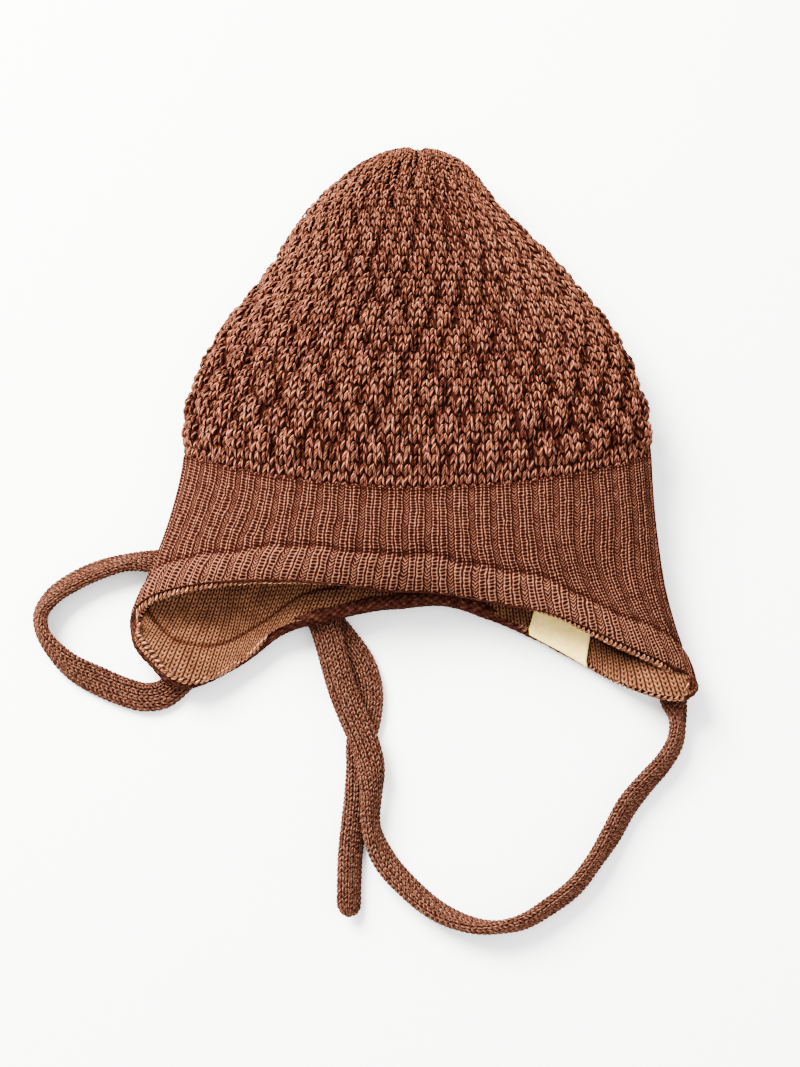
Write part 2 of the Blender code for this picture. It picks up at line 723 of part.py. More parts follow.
def label_lines(depth):
    """Rows of points across the label, from its edge below the rim to its upper edge."""
    middle = band_layer(np.array([LABEL_ROUND - 0.01, LABEL_ROUND + 0.01]), 1.0, LINING_IN)
    per_round = np.linalg.norm(middle[1] - middle[0]) / 0.02
    reach = LABEL_WIDTH / 2 / per_round
    columns = LABEL_ROUND + np.linspace(-reach, reach, LABEL_COLUMNS + 1)
    share = (LABEL_DEPTH - LABEL_OVERHANG) / band_length(np.array([LABEL_ROUND]))[0]
    lines = [band_layer(columns + LABEL_LEAN * up, 1 - share * up, depth)
             for up in np.linspace(0, 1, LABEL_ROWS)]
    ahead = lines[0] - lines[1]
    ahead /= np.linalg.norm(ahead, axis=1)[:, None]
    lines.insert(0, lines[0] + ahead * LABEL_OVERHANG - np.array([0.0, 0.0, LABEL_DROOP]))
    return lines


def make_label():
    """A plain strip that lies on the lining and hangs a little over the rim."""
    bm = bmesh.new()
    under = [add_loop(bm, line) for line in label_lines(LABEL_DOWN)]
    over = [add_loop(bm, line) for line in label_lines(LABEL_DOWN + LABEL_THICKNESS)]
    for rows in (under, over):
        for low, high in zip(rows, rows[1:]):
            for k in range(LABEL_COLUMNS):
                bm.faces.new((low[k], low[k + 1], high[k + 1], high[k]))
    for row in (0, LABEL_ROWS):
        for k in range(LABEL_COLUMNS):
            bm.faces.new((under[row][k], under[row][k + 1], over[row][k + 1], over[row][k]))
    for k in (0, LABEL_COLUMNS):
        for row in range(LABEL_ROWS):
            bm.faces.new((under[row][k], under[row + 1][k], over[row + 1][k], over[row][k]))
    return new_object("label", bm, CREAM)


def main():
    clear_scene()
    make_crown()
    make_band()
    make_lining()
    make_tie("left_tie", LEFT_TIE_ROUTE)
    make_tie("right_tie", RIGHT_TIE_ROUTE)
    make_label()


main()
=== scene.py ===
import math

import bpy
import numpy as np
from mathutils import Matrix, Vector


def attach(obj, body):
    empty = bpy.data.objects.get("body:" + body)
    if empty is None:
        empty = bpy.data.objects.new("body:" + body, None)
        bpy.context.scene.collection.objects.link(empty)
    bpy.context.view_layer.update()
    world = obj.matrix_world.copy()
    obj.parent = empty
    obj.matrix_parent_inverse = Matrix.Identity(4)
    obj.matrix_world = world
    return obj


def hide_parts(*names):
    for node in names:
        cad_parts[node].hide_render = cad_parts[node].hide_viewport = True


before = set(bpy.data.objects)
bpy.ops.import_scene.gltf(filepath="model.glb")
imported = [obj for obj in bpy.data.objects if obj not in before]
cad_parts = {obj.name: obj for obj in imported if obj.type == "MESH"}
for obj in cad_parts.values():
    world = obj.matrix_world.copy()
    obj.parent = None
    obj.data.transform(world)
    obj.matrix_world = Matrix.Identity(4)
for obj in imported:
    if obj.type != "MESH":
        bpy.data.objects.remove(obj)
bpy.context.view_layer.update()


# Camera: a photographer stands at the bonnet's mouth and looks steeply down at the table
CAMERA_TARGET = Vector((-0.0042, -0.0452, 0.0080))
CAMERA_RANGE = 0.694
CAMERA_ELEVATION = math.radians(72)
CAMERA_LENS = 65

camera_data = bpy.data.cameras.new("camera")
camera_data.lens = CAMERA_LENS
camera_data.sensor_width = 36
camera_data.clip_start = 0.01
camera_object = bpy.data.objects.new("camera", camera_data)
looking = Vector((0, math.cos(CAMERA_ELEVATION), -math.sin(CAMERA_ELEVATION)))
camera_object.location = CAMERA_TARGET - looking * CAMERA_RANGE
camera_object.rotation_euler = (math.pi / 2 - CAMERA_ELEVATION, 0, 0)
bpy.context.collection.objects.link(camera_object)
bpy.context.scene.camera = camera_object


# Left tie: a flat tube of rust-brown marled wool, knitted in stocking stitch and sewn under
# the left ear flap. It lies loose: round to the left, under the bonnet and out in front.
# Its route is the solid's, but turned about its length by the widths that the photo shows:
# x, y, lift above the table, turn, press
TIE_WIDTH = 0.0102
TIE_THICKNESS = 0.0046
TIE_WALES = 11
TIE_COURSE = 0.00175
TIE_STATIONS = 400
TIE_YARN_HALF = (0.00050, 0.00046)
CORE_STATIONS, CORE_SIDES = 320, 20
CORE_DEPTH = 0.0006
LEFT_TIE_ROUTE = (
    (-0.0790, -0.0939, 0.0000, 0, 0.66),
    (-0.0836, -0.0995, 0.0000, 2, 0.70),
    (-0.0886, -0.1034, 0.0000, 10, 0.90),
    (-0.0945, -0.1042, 0.0000, 14, 1.00),
    (-0.1020, -0.1022, 0.0000, 16, 1.00),
    (-0.1110, -0.0984, 0.0000, 24, 1.00),
    (-0.1197, -0.0940, 0.0000, 47, 1.00),
    (-0.1264, -0.0882, 0.0000, 67, 1.00),
    (-0.1316, -0.0808, 0.0000, 78, 1.00),
    (-0.1324, -0.0742, 0.0000, 64, 1.00),
    (-0.1290, -0.0680, 0.0000, 50, 1.00),
    (-0.1209, -0.0617, 0.0000, 42, 1.00),
    (-0.1111, -0.0571, 0.0000, 43, 1.00),
    (-0.1017, -0.0547, 0.0000, 48, 1.00),
    (-0.0918, -0.0541, 0.0000, 22, 0.82),
    (-0.0765, -0.0545, 0.0000, 0, 0.70),
    (-0.0602, -0.0580, 0.0000, 0, 0.70),
    (-0.0446, -0.0642, 0.0000, 0, 0.70),
    (-0.0327, -0.0732, 0.0000, 0, 0.70),
    (-0.0240, -0.0832, 0.0000, 0, 0.72),
    (-0.0178, -0.0924, 0.0000, 0, 0.76),
    (-0.0153, -0.1016, 0.0000, 0, 0.80),
    (-0.0157, -0.1106, 0.0000, 0, 0.80),
    (-0.0180, -0.1203, 0.0000, 0, 0.76),
    (-0.0180, -0.1297, 0.0000, 6, 0.76),
    (-0.0188, -0.1393, 0.0000, 26, 0.84),
    (-0.0203, -0.1497, 0.0000, 40, 0.94),
    (-0.0213, -0.1599, 0.0000, 44, 1.00),
    (-0.0216, -0.1701, 0.0000, 46, 1.00),
    (-0.0216, -0.1808, 0.0000, 46, 1.00),
)


def smooth_curve(keys, values, at):
    """Smooth curve through the values that belong to the keys, read at other keys."""
    slopes = np.gradient(values, keys)
    at = np.clip(np.asarray(at, dtype=float), keys[0], keys[-1])
    low = np.clip(np.searchsorted(keys, at, side="right") - 1, 0, len(keys) - 2)
    span = keys[low + 1] - keys[low]
    t = (at - keys[low]) / span
    start = (2 * t**3 - 3 * t**2 + 1) * values[low] + (t**3 - 2 * t**2 + t) * span * slopes[low]
    end = (3 * t**2 - 2 * t**3) * values[low + 1] + (t**3 - t**2) * span * slopes[low + 1]
    return start + end


def running_length(points):
    """Length along a line of points, from its first point to each."""
    return np.concatenate([[0.0], np.cumsum(np.linalg.norm(np.diff(points, axis=0), axis=1))])


def ease(x):
    x = np.clip(x, 0.0, 1.0)
    return x * x * (3 - 2 * x)


def unit(vectors):
    return vectors / np.maximum(np.linalg.norm(vectors, axis=-1, keepdims=True), 1e-9)


def tie_rows(route, count):
    """The route's columns at even steps from its first point to its last, and its length."""
    rows = np.array(route)
    key = running_length(rows[:, :2])
    at = np.linspace(0, key[-1], count)
    return np.stack([smooth_curve(key, column, at) for column in rows.T], axis=1), key[-1]


def tie_frames(route, count):
    """Even stations along a tie: its centre, the two axes of its cross-section, its press."""
    rows, length = tie_rows(route, count)
    ahead = unit(np.gradient(rows[:, :2], axis=0))
    lean = np.radians(rows[:, 3])
    right = np.stack([ahead[:, 1], -ahead[:, 0], np.zeros(count)], axis=1)
    up = np.array([0.0, 0.0, 1.0])
    wide = right * np.cos(lean)[:, None] + up * np.sin(lean)[:, None]
    thick = -right * np.sin(lean)[:, None] + up * np.cos(lean)[:, None]
    half = np.hypot(TIE_WIDTH / 2 * np.sin(lean), TIE_THICKNESS / 2 * rows[:, 4] * np.cos(lean))
    centre = np.stack([rows[:, 0], rows[:, 1], rows[:, 2] + half], axis=1)
    return centre, wide, thick, rows[:, 4], length


def oval(around):
    """A flat tube's outline, round share 0 to 1, in half widths and half thicknesses."""
    a = around * 2 * math.pi
    return (np.sign(np.cos(a)) * np.abs(np.cos(a)) ** 0.75,
            np.sign(np.sin(a)) * np.abs(np.sin(a)) ** 0.75)


def even_rounds(count, fine=720):
    """Shares round the oval that lie at even distances along its outline, with their keys."""
    around = np.linspace(0, 1, fine + 1)
    key = running_length(np.stack(oval(around), axis=1) * (TIE_WIDTH, TIE_THICKNESS))
    return np.interp(np.linspace(0, 1, count + 1)[:-1], key / key[-1], around)


EVEN_TABLE = even_rounds(240)


def tie_point(frames, along, round_share, height):
    """Points on a tie: along 0 to 1 of its length, round_share by distance, height outward."""
    centre, wide, thick, press, length = frames
    last = len(centre) - 1
    at = np.clip(along, 0, 1) * last
    low = np.minimum(np.floor(at).astype(int), last - 1)
    t = (at - low)[..., None]
    mix = lambda field: field[low] * (1 - t) + field[low + 1] * t
    squeeze = mix(press[:, None])[..., 0]
    around = np.interp(round_share % 1.0 * len(EVEN_TABLE), np.arange(len(EVEN_TABLE) + 1),
                       np.append(EVEN_TABLE, 1.0))
    x, y = oval(around)
    half_x = TIE_WIDTH / 2 + height
    half_y = TIE_THICKNESS / 2 * squeeze + height
    end = np.clip(np.minimum(along, 1 - along) * length / (TIE_WIDTH * 0.45), 0, 1)
    close = np.sqrt(1 - (1 - end) ** 2)
    return (mix(centre) + mix(wide) * (x * half_x * close)[..., None]
            + mix(thick) * (y * half_y * (0.25 + 0.75 * close))[..., None])


def grid_faces(rows, columns, closed):
    """Quads of a grid of points, closed into a ring or open."""
    across = np.arange(columns if closed else columns - 1)
    a = np.arange(rows - 1)[:, None] * columns + across[None, :]
    b = np.arange(rows - 1)[:, None] * columns + (across[None, :] + 1) % columns
    return np.stack([a, b, b + columns, a + columns], axis=-1).reshape(-1, 4)


def new_mesh(name, places, faces, attributes=None, uv=None):
    """A mesh object from arrays: triangles or quads, with values for its points or for all."""
    mesh = bpy.data.meshes.new(name)
    mesh.vertices.add(len(places))
    mesh.vertices.foreach_set("co", np.asarray(places, dtype=np.float32).ravel())
    sides = faces.shape[1]
    mesh.loops.add(faces.size)
    mesh.loops.foreach_set("vertex_index", faces.astype(np.int32).ravel())
    mesh.polygons.add(len(faces))
    mesh.polygons.foreach_set("loop_start", np.arange(0, faces.size, sides, dtype=np.int32))
    mesh.update(calc_edges=True)
    mesh.shade_smooth()
    for key, values in (attributes or {}).items():
        layer = mesh.attributes.new(key, "FLOAT", "POINT")
        each = np.broadcast_to(np.asarray(values, dtype=np.float32), len(places))
        layer.data.foreach_set("value", each.ravel())
    if uv is not None:
        layer = mesh.uv_layers.new(name="weave")
        layer.data.foreach_set("uv", np.asarray(uv, dtype=np.float32)[faces.ravel()].ravel())
    item = bpy.data.objects.new(name, mesh)
    bpy.context.collection.objects.link(item)
    return item


def strand_mesh(name, lines, outward, width, height, sides, attributes):
    """Short lengths of yarn as one mesh: lines is strands by points by 3, outward the same."""
    strands, points, _ = lines.shape
    rings = points - 2
    ahead = unit(lines[:, 2:] - lines[:, :-2])
    side = unit(np.cross(ahead, outward[:, 1:-1]))
    over = unit(np.cross(side, ahead))
    swell = np.sin(np.linspace(0, math.pi, points)[1:-1]) ** 0.55
    angle = np.arange(sides) * 2 * math.pi / sides
    ring = (lines[:, 1:-1, None, :]
            + side[:, :, None, :] * (width[:, None] * swell)[:, :, None, None]
            * np.cos(angle)[None, None, :, None]
            + over[:, :, None, :] * (height[:, None] * swell)[:, :, None, None]
            * np.sin(angle)[None, None, :, None])
    per = rings * sides + 2
    ring = ring.reshape(strands, rings * sides, 3)
    places = np.concatenate([lines[:, :1], ring, lines[:, -1:]], axis=1)
    faces = []
    for k in range(sides):
        j = (k + 1) % sides
        faces.append((0, 1 + j, 1 + k))
        for r in range(rings - 1):
            a, b = 1 + r * sides, 1 + (r + 1) * sides
            faces.append((a + k, a + j, b + j))
            faces.append((a + k, b + j, b + k))
        top = 1 + (rings - 1) * sides
        faces.append((top + k, top + j, per - 1))
    faces = np.array(faces)[None] + (np.arange(strands) * per)[:, None, None]
    values = {}
    for key, value in attributes.items():
        if value.ndim == 1:
            values[key] = np.repeat(value, per)
        else:
            middle = np.repeat(value[:, 1:-1], sides, axis=1)
            values[key] = np.concatenate([value[:, :1], middle, value[:, -1:]], axis=1).ravel()
    lengthwise = np.concatenate([[0.0], np.repeat(np.linspace(0.15, 0.85, rings), sides), [1.0]])
    roundwise = np.concatenate([[0.5], np.tile(np.arange(sides) / sides, rings), [0.5]])
    values["lengthwise"] = np.tile(lengthwise, strands)
    values["roundwise"] = np.tile(roundwise, strands)
    return new_mesh(name, places.reshape(-1, 3), faces.reshape(-1, 3), values)


def linear(code):
    """An sRGB hex colour as linear red, green, blue and alpha."""
    parts = [int(code[i:i + 2], 16) / 255 for i in (1, 3, 5)]
    return tuple(c / 12.92 if c <= 0.04045 else ((c + 0.055) / 1.055) ** 2.4
                 for c in parts) + (1.0,)


def add(tree, kind, links=None, **settings):
    """A shader node with its settings, and its inputs set to values or joined to other nodes."""
    node = tree.nodes.new(kind)
    for key, value in settings.items():
        setattr(node, key, value)
    for key, value in (links or {}).items():
        if isinstance(value, bpy.types.Node):
            value = value.outputs[0]
        if isinstance(value, bpy.types.NodeSocket):
            tree.links.new(value, node.inputs[key])
        else:
            node.inputs[key].default_value = value
    return node


def new_material(name):
    material = bpy.data.materials.new(name)
    material.use_nodes = True
    tree = material.node_tree
    return material, tree, tree.nodes["Principled BSDF"]


def sine_wave(tree, value, rate):
    """The sine of a value times a rate, by two nodes."""
    turn = add(tree, "ShaderNodeMath", {0: value, 1: rate}, operation="MULTIPLY")
    return add(tree, "ShaderNodeMath", {0: turn}, operation="SINE")


def finish_cloth(tree, shader, base, parts, stops, relief,
                 strength=0.8, distance=0.0005, roughness=0.8):
    """Ends a matt material. Its shade is a base and weighted parts, its colours run from dark
    to light by that shade, and a bump gives the finest relief."""
    shade = base
    for part, weight in parts:
        shade = add(tree, "ShaderNodeMath", {0: part, 1: weight, 2: shade},
                    operation="MULTIPLY_ADD")
    ramp = add(tree, "ShaderNodeValToRGB", {"Fac": shade})
    elements = ramp.color_ramp.elements
    elements[0].position, elements[1].position = stops[0][0], stops[-1][0]
    for at, colour in stops[1:-1]:
        elements.new(at)
    for element, (at, colour) in zip(elements, stops):
        element.color = linear(colour)
    bump = add(tree, "ShaderNodeBump",
               {"Strength": strength, "Distance": distance, "Height": relief})
    tree.links.new(ramp.outputs["Color"], shader.inputs["Base Color"])
    tree.links.new(bump.outputs["Normal"], shader.inputs["Normal"])
    shader.inputs["Roughness"].default_value = roughness
    shader.inputs["Specular IOR Level"].default_value = 0.0


def marled_wool(name, pit_shade, dark, middle, light):
    """Wool spun of two plies that wind round each other, one lighter and one darker, so the knit
    looks marled; matt. Painted light and shade on it: the top of each strand lighter and its
    sides and underside darker, dark furrows between the plies, and darker down between the
    stitches by the depth attribute, down to the pit_shade colour."""
    material, tree, shader = new_material(name)
    tone, depth, along, about = (
        add(tree, "ShaderNodeAttribute", attribute_name=which).outputs["Fac"]
        for which in ("tone", "depth", "lengthwise", "roundwise"))
    place = add(tree, "ShaderNodeTexCoord").outputs["Object"]
    twist = add(tree, "ShaderNodeMath", {0: along, 1: 0.5, 2: about}, operation="MULTIPLY_ADD")
    turn = add(tree, "ShaderNodeMath", {0: twist, 1: tone}, operation="ADD")
    # The plies' alternating light and dark tones are the yarn's own marl; the furrows where ply
    # drops to 0 are painted shade
    turns = sine_wave(tree, turn, 4 * math.pi)
    ply = add(tree, "ShaderNodeMath", {0: turns}, operation="ABSOLUTE")
    # A fibre is 0.02 mm thick, too fine to show: fibres are drawn 0.45 mm wide, 2200 to the
    # metre. The mottles of the marl are 3 mm, 330 to the metre
    fibre = add(tree, "ShaderNodeTexNoise", {"Vector": place, "Scale": 2200.0, "Detail": 1.0})
    mottle = add(tree, "ShaderNodeTexNoise", {"Vector": place, "Scale": 330.0, "Detail": 2.0})
    # over is 1 on each strand's top and -1 under it: painted light on the top, painted shade on the
    # sides and underside
    over = sine_wave(tree, about, 2 * math.pi)
    # depth darkens by painted shade down between the stitches; pit_shade is the darkest painted
    # shade
    finish_cloth(tree, shader, -0.72, ((over, 0.26), (ply, 0.70), (turns, 0.18), (fibre, 0.30),
                                       (tone, 0.20), (mottle, 0.35), (depth, -0.47)),
                 ((0.0, pit_shade), (0.12, dark), (0.45, middle), (0.85, light)), ply, 0.6, 0.0003)
    return material


def make_tie(name, route, seed):
    """A tie's stitches over its core, as one mesh."""
    rng = np.random.default_rng(seed)
    frames = tie_frames(route, TIE_STATIONS)
    length = frames[4]
    courses = int(length / TIE_COURSE) + 1
    wale, course, leg = (a.ravel() for a in np.meshgrid(
        np.arange(TIE_WALES), np.arange(courses), [-1, 1], indexing="ij"))
    count = len(wale)
    t = np.linspace(0, 1, 5)[None, :]
    spread = (0.07 + 0.38 * t**0.9) * leg[:, None] / TIE_WALES
    around = (wale[:, None] + 0.5) / TIE_WALES + spread + rng.normal(0, 0.002, (count, 1))
    along = (course[:, None] + t * 1.45 + rng.normal(0, 0.03, (count, 1))) * TIE_COURSE / length
    rise = np.sin(t**0.8 * math.pi) * 0.00035 - CORE_DEPTH
    lines = tie_point(frames, along, around, np.broadcast_to(rise, around.shape))
    outside = tie_point(frames, along, around, np.broadcast_to(rise + 0.001, around.shape))
    keep = along[:, 0] < 0.998
    tone = rng.uniform(0, 1, count)
    half_width, half_height = (np.full(keep.sum(), half) for half in TIE_YARN_HALF)
    yarn = strand_mesh(name, lines[keep], unit(outside - lines)[keep], half_width, half_height,
                       5, {"tone": tone[keep], "depth": np.zeros(keep.sum())})
    grid_along, grid_around = (a.ravel() for a in np.meshgrid(
        np.linspace(0, 1, CORE_STATIONS), np.arange(CORE_SIDES) / CORE_SIDES, indexing="ij"))
    core = tie_point(frames, grid_along, grid_around, np.full(grid_along.size, -CORE_DEPTH))
    # The core shows only between the stitches; its depth of 0.9 is painted shade there
    inner = new_mesh(name + "_core", core, grid_faces(CORE_STATIONS, CORE_SIDES, True),
                     {"tone": 0.3, "depth": 0.9, "lengthwise": 0, "roundwise": 0})
    with bpy.context.temp_override(active_object=yarn, selected_editable_objects=[yarn, inner]):
        bpy.ops.object.join()
    centre = frames[0][::8]
    return yarn, [tuple(map(float, p)) for p in np.vstack([centre, frames[0][-1:]])], length


TIE_WOOL = marled_wool("tie_wool", "#180805", "#260C07", "#43281E", "#6C4735")

left_tie_yarn, left_path, left_length = make_tie("left_tie_yarn", LEFT_TIE_ROUTE, 11)
left_tie_yarn.data.materials.append(TIE_WOOL)
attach(left_tie_yarn, "root")
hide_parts("left_tie")


# Right tie: the same flat tube of marled wool, sewn under the right ear flap. It makes a
# loop in front, lies over the left tie and ends under the bonnet
RIGHT_TIE_ROUTE = (
    (0.0920, -0.0995, 0.0000, 0, 0.66),
    (0.0925, -0.1063, 0.0000, 22, 0.84),
    (0.0932, -0.1134, 0.0000, 62, 1.00),
    (0.0920, -0.1208, 0.0000, 66, 1.00),
    (0.0878, -0.1278, 0.0000, 66, 1.00),
    (0.0813, -0.1349, 0.0000, 62, 1.00),
    (0.0745, -0.1430, 0.0000, 56, 1.00),
    (0.0687, -0.1529, 0.0000, 58, 1.00),
    (0.0625, -0.1622, 0.0000, 70, 1.00),
    (0.0556, -0.1709, 0.0000, 70, 1.00),
    (0.0469, -0.1775, 0.0000, 74, 1.00),
    (0.0364, -0.1833, 0.0000, 84, 1.00),
    (0.0251, -0.1847, 0.0000, 106, 1.00),
    (0.0108, -0.1804, 0.0000, 127, 1.00),
    (-0.0015, -0.1710, 0.0000, 137, 1.00),
    (-0.0099, -0.1612, 0.0000, 139, 1.00),
    (-0.0142, -0.1502, 0.0004, 118, 1.00),
    (-0.0142, -0.1396, 0.0026, 128, 0.94),
    (-0.0143, -0.1303, 0.0042, 158, 0.86),
    (-0.0166, -0.1213, 0.0044, 180, 0.80),
    (-0.0208, -0.1117, 0.0042, 180, 0.80),
    (-0.0246, -0.1019, 0.0042, 180, 0.80),
    (-0.0274, -0.0924, 0.0042, 180, 0.78),
    (-0.0300, -0.0829, 0.0039, 180, 0.72),
    (-0.0338, -0.0735, 0.0037, 180, 0.70),
    (-0.0395, -0.0650, 0.0037, 180, 0.70),
    (-0.0466, -0.0570, 0.0034, 180, 0.70),
    (-0.0535, -0.0490, 0.0010, 180, 0.70),
    (-0.0585, -0.0420, 0.0000, 180, 0.70),
)

right_tie_yarn, right_path, right_length = make_tie("right_tie_yarn", RIGHT_TIE_ROUTE, 12)
right_tie_yarn.data.materials.append(TIE_WOOL)
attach(right_tie_yarn, "root")
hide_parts("right_tie")


# Crown: two walls of rust-brown marled wool in bubble stitch, knitted in the round, drawn
# together at the tip and lying flat. First the shape that the whole bonnet lies in, then a
# ground of the knit's back, painted dark as the shade down between the stitches, then every
# stitch as two short lengths of yarn
BAND_WIDTH = 0.169
CROWN_LENGTH = 0.123
FLAP_DROP = 0.089
MOUTH_WIDTH = 0.2025
CROWN_DEPTH = 0.037
MOUTH_DEPTH = 0.027
KNIT_WALL = 0.0026
LAYER_GAP = 0.0003
LINING_WALL = 0.0016
JOIN_Y = (FLAP_DROP - CROWN_LENGTH) / 2
CROWN_SECTIONS = (
    # run, along, left, right, top, fold, bed, sag
    (0.00, 0.000, -0.488, 0.513, 0.89, 0.36, 0.00, 0.155),
    (0.14, 0.178, -0.468, 0.489, 0.98, 0.38, 0.00, 0.120),
    (0.30, 0.373, -0.414, 0.437, 1.00, 0.39, 0.00, 0.085),
    (0.47, 0.571, -0.312, 0.335, 0.95, 0.39, 0.00, 0.050),
    (0.66, 0.791, -0.221, 0.197, 0.83, 0.37, 0.00, 0.020),
    (0.84, 0.955, -0.108, 0.118, 0.62, 0.33, 0.06, 0.000),
    (0.93, 0.994, -0.050, 0.068, 0.47, 0.31, 0.36, 0.000),
    (1.00, 1.006, 0.010, 0.010, 0.30, 0.30, 1.00, 0.000),
)
NEAR_RIM = (
    # across, down, up
    (0.989, 0.942, 0.30),
    (0.952, 0.907, 0.48),
    (0.874, 0.881, 0.67),
    (0.764, 0.830, 0.74),
    (0.623, 0.764, 0.81),
    (0.508, 0.707, 0.81),
    (0.283, 0.644, 0.74),
    (0.097, 0.604, 0.70),
    (-0.086, 0.598, 0.78),
    (-0.268, 0.582, 0.93),
    (-0.453, 0.573, 1.00),
    (-0.580, 0.573, 1.00),
    (-0.684, 0.578, 0.96),
    (-0.800, 0.588, 0.85),
    (-0.894, 0.604, 0.70),
    (-0.958, 0.633, 0.52),
    (-0.989, 0.680, 0.35),
)
FAR_RIM = (
    # across, down, up
    (-0.989, 0.680, 0.35),
    (-0.984, 0.730, 0.25),
    (-0.969, 0.775, 0.20),
    (-0.940, 0.822, 0.17),
    (-0.901, 0.869, 0.15),
    (-0.856, 0.914, 0.14),
    (-0.775, 0.934, 0.14),
    (-0.681, 0.903, 0.14),
    (-0.557, 0.821, 0.14),
    (-0.463, 0.743, 0.17),
    (-0.392, 0.712, 0.24),
    (-0.287, 0.684, 0.30),
    (-0.150, 0.645, 0.28),
    (-0.024, 0.625, 0.24),
    (0.128, 0.612, 0.19),
    (0.202, 0.634, 0.15),
    (0.291, 0.668, 0.11),
    (0.400, 0.718, 0.06),
    (0.603, 0.839, 0.01),
    (0.720, 0.916, 0.01),
    (0.798, 0.976, 0.04),
    (0.872, 1.010, 0.09),
    (0.936, 1.006, 0.15),
    (0.977, 0.977, 0.22),
    (0.989, 0.942, 0.30),
)
DENTS = (
    # round, rise, reach_round, reach_rise, depth
    (0.19, 0.34, 0.070, 0.16, 0.060),
    (0.26, -0.18, 0.060, 0.22, 0.050),
    (0.36, 0.30, 0.080, 0.22, -0.045),
    (0.24, 0.90, 0.060, 0.10, 0.050),
    (0.08, -0.62, 0.035, 0.16, 0.035),
    (0.13, -0.55, 0.030, 0.18, -0.035),
)
GRID_COLUMNS = 528
GRID_RISES = np.linspace(-1.0, 1.0, 321)


def section_half(run, near):
    """Fine points along one half of the crown's section, as the wall runs round the bonnet."""
    turn = np.linspace(0, math.pi, 97)
    if not near:
        turn = turn[::-1]
    span = np.cos(turn)
    runs, *columns = np.array(CROWN_SECTIONS).T
    along, left, right, top, fold, bed, sag = (
        float(smooth_curve(runs, column, run)) for column in columns)
    middle = (right + left) / 2 * BAND_WIDTH
    half = (right - left) / 2 * BAND_WIDTH
    fold_z = fold * CROWN_DEPTH
    if near:
        dome = np.sin(turn)
        z = fold_z + (top - fold) * CROWN_DEPTH * dome
        droop = sag * CROWN_LENGTH * dome**1.5
    else:
        bowl = np.minimum((1 - np.abs(span) ** 4.5) ** 0.42 * 1.03, 1.0)
        z = fold_z - fold_z * (1 - bed) * bowl
        droop = np.zeros_like(turn)
    return np.stack([middle + half * span, JOIN_Y + along * CROWN_LENGTH - droop, z], axis=1)


def along_line(points, shares):
    length = running_length(points)
    wanted = np.asarray(shares) * length[-1]
    return np.stack([np.interp(wanted, length, points[:, k]) for k in range(3)], axis=1)


def both_walls(near_line, far_line, rounds):
    """Points round the bonnet: near wall from 0 to 0.5, far wall from 0.5 to 1."""
    rounds = np.asarray(rounds, dtype=float) % 1.0
    near = along_line(near_line, np.clip(rounds * 2, 0, 1))
    far = along_line(far_line, np.clip(rounds * 2 - 1, 0, 1))
    return np.where((rounds < 0.5)[:, None], near, far)


def crown_loop(rounds, run):
    run = min(run, 0.999)
    return both_walls(section_half(run, True), section_half(run, False), rounds)


def rim_half(table):
    rows = np.array(table)
    key = running_length(rows)
    at = np.linspace(0, key[-1], 161)
    across, down, up = (smooth_curve(key, column, at) for column in rows.T)
    return np.stack([across * MOUTH_WIDTH / 2, JOIN_Y - down * FLAP_DROP, up * MOUTH_DEPTH], axis=1)


NEAR_RIM_LINE = rim_half(NEAR_RIM)
FAR_RIM_LINE = rim_half(FAR_RIM)


def rim_loop(rounds):
    return both_walls(NEAR_RIM_LINE, FAR_RIM_LINE, rounds)


def band_loop(rounds, share):
    """Points round the band, share 0 at the join and 1 at the rim."""
    join = crown_loop(rounds, 0.0)
    rim = rim_loop(rounds)
    side = (np.cos(2 * math.pi * rounds) + 1) / 2
    flare = 1.5 + (2.45 - 1.5) * side
    height = np.sin(2 * math.pi * rounds)
    bend = 1.3 + np.where(height > 0, 2.2 - 1.3, 1.3 - 3.0) * height
    x = join[:, 0] + (rim[:, 0] - join[:, 0]) * share**flare
    y = join[:, 1] + (rim[:, 1] - join[:, 1]) * share
    z = join[:, 2] + (rim[:, 2] - join[:, 2]) * share**bend
    return np.stack([x, y, z], axis=1)


def dents(rounds, rise):
    depth = np.zeros(len(rounds))
    for round_at, rise_at, reach_round, reach_rise, share in DENTS:
        away = ((rounds - round_at) / reach_round) ** 2 + ((rise - rise_at) / reach_rise) ** 2
        depth += share * CROWN_DEPTH * np.exp(-away)
    return depth


def surface(rounds, rise):
    points = crown_loop(rounds, rise) if rise >= 0 else band_loop(rounds, -rise)
    points[:, 2] -= dents(rounds, rise) * ease(np.sin(2 * math.pi * rounds) * 4)
    return points


def lift_over_ties(points):
    """Height that the far wall needs at these points to clear the ties under it."""
    needed = np.zeros(len(points))
    for route in (LEFT_TIE_ROUTE, RIGHT_TIE_ROUTE):
        centre, _, _, press, _ = tie_frames(route, 110)
        rows, _ = tie_rows(route, 110)
        lean = np.radians(rows[:, 3])
        half = (np.abs(np.sin(lean)) * TIE_WIDTH / 2
                + np.abs(np.cos(lean)) * TIE_THICKNESS / 2 * press)
        top = rows[:, 2] + 2 * half * 0.97 + LAYER_GAP * 1.5
        away = np.linalg.norm(points[:, None, :2] - centre[None, :, :2], axis=2)
        fade = 1 - ease((away - TIE_WIDTH / 2 - 0.007) / 0.018)
        needed = np.maximum(needed, (top[None] * fade).max(axis=1))
    return needed


def soften(field, steps, axis):
    """Running mean of a field, closed round the bonnet and held at the rim and the tip."""
    pad = [(0, 0)] * field.ndim
    pad[axis] = (steps, steps)
    wide = np.pad(field, pad, mode="wrap" if axis == 1 else "edge")
    shifted = [np.take(wide, range(k, k + field.shape[axis]), axis=axis)
               for k in range(2 * steps + 1)]
    return sum(shifted) / len(shifted)


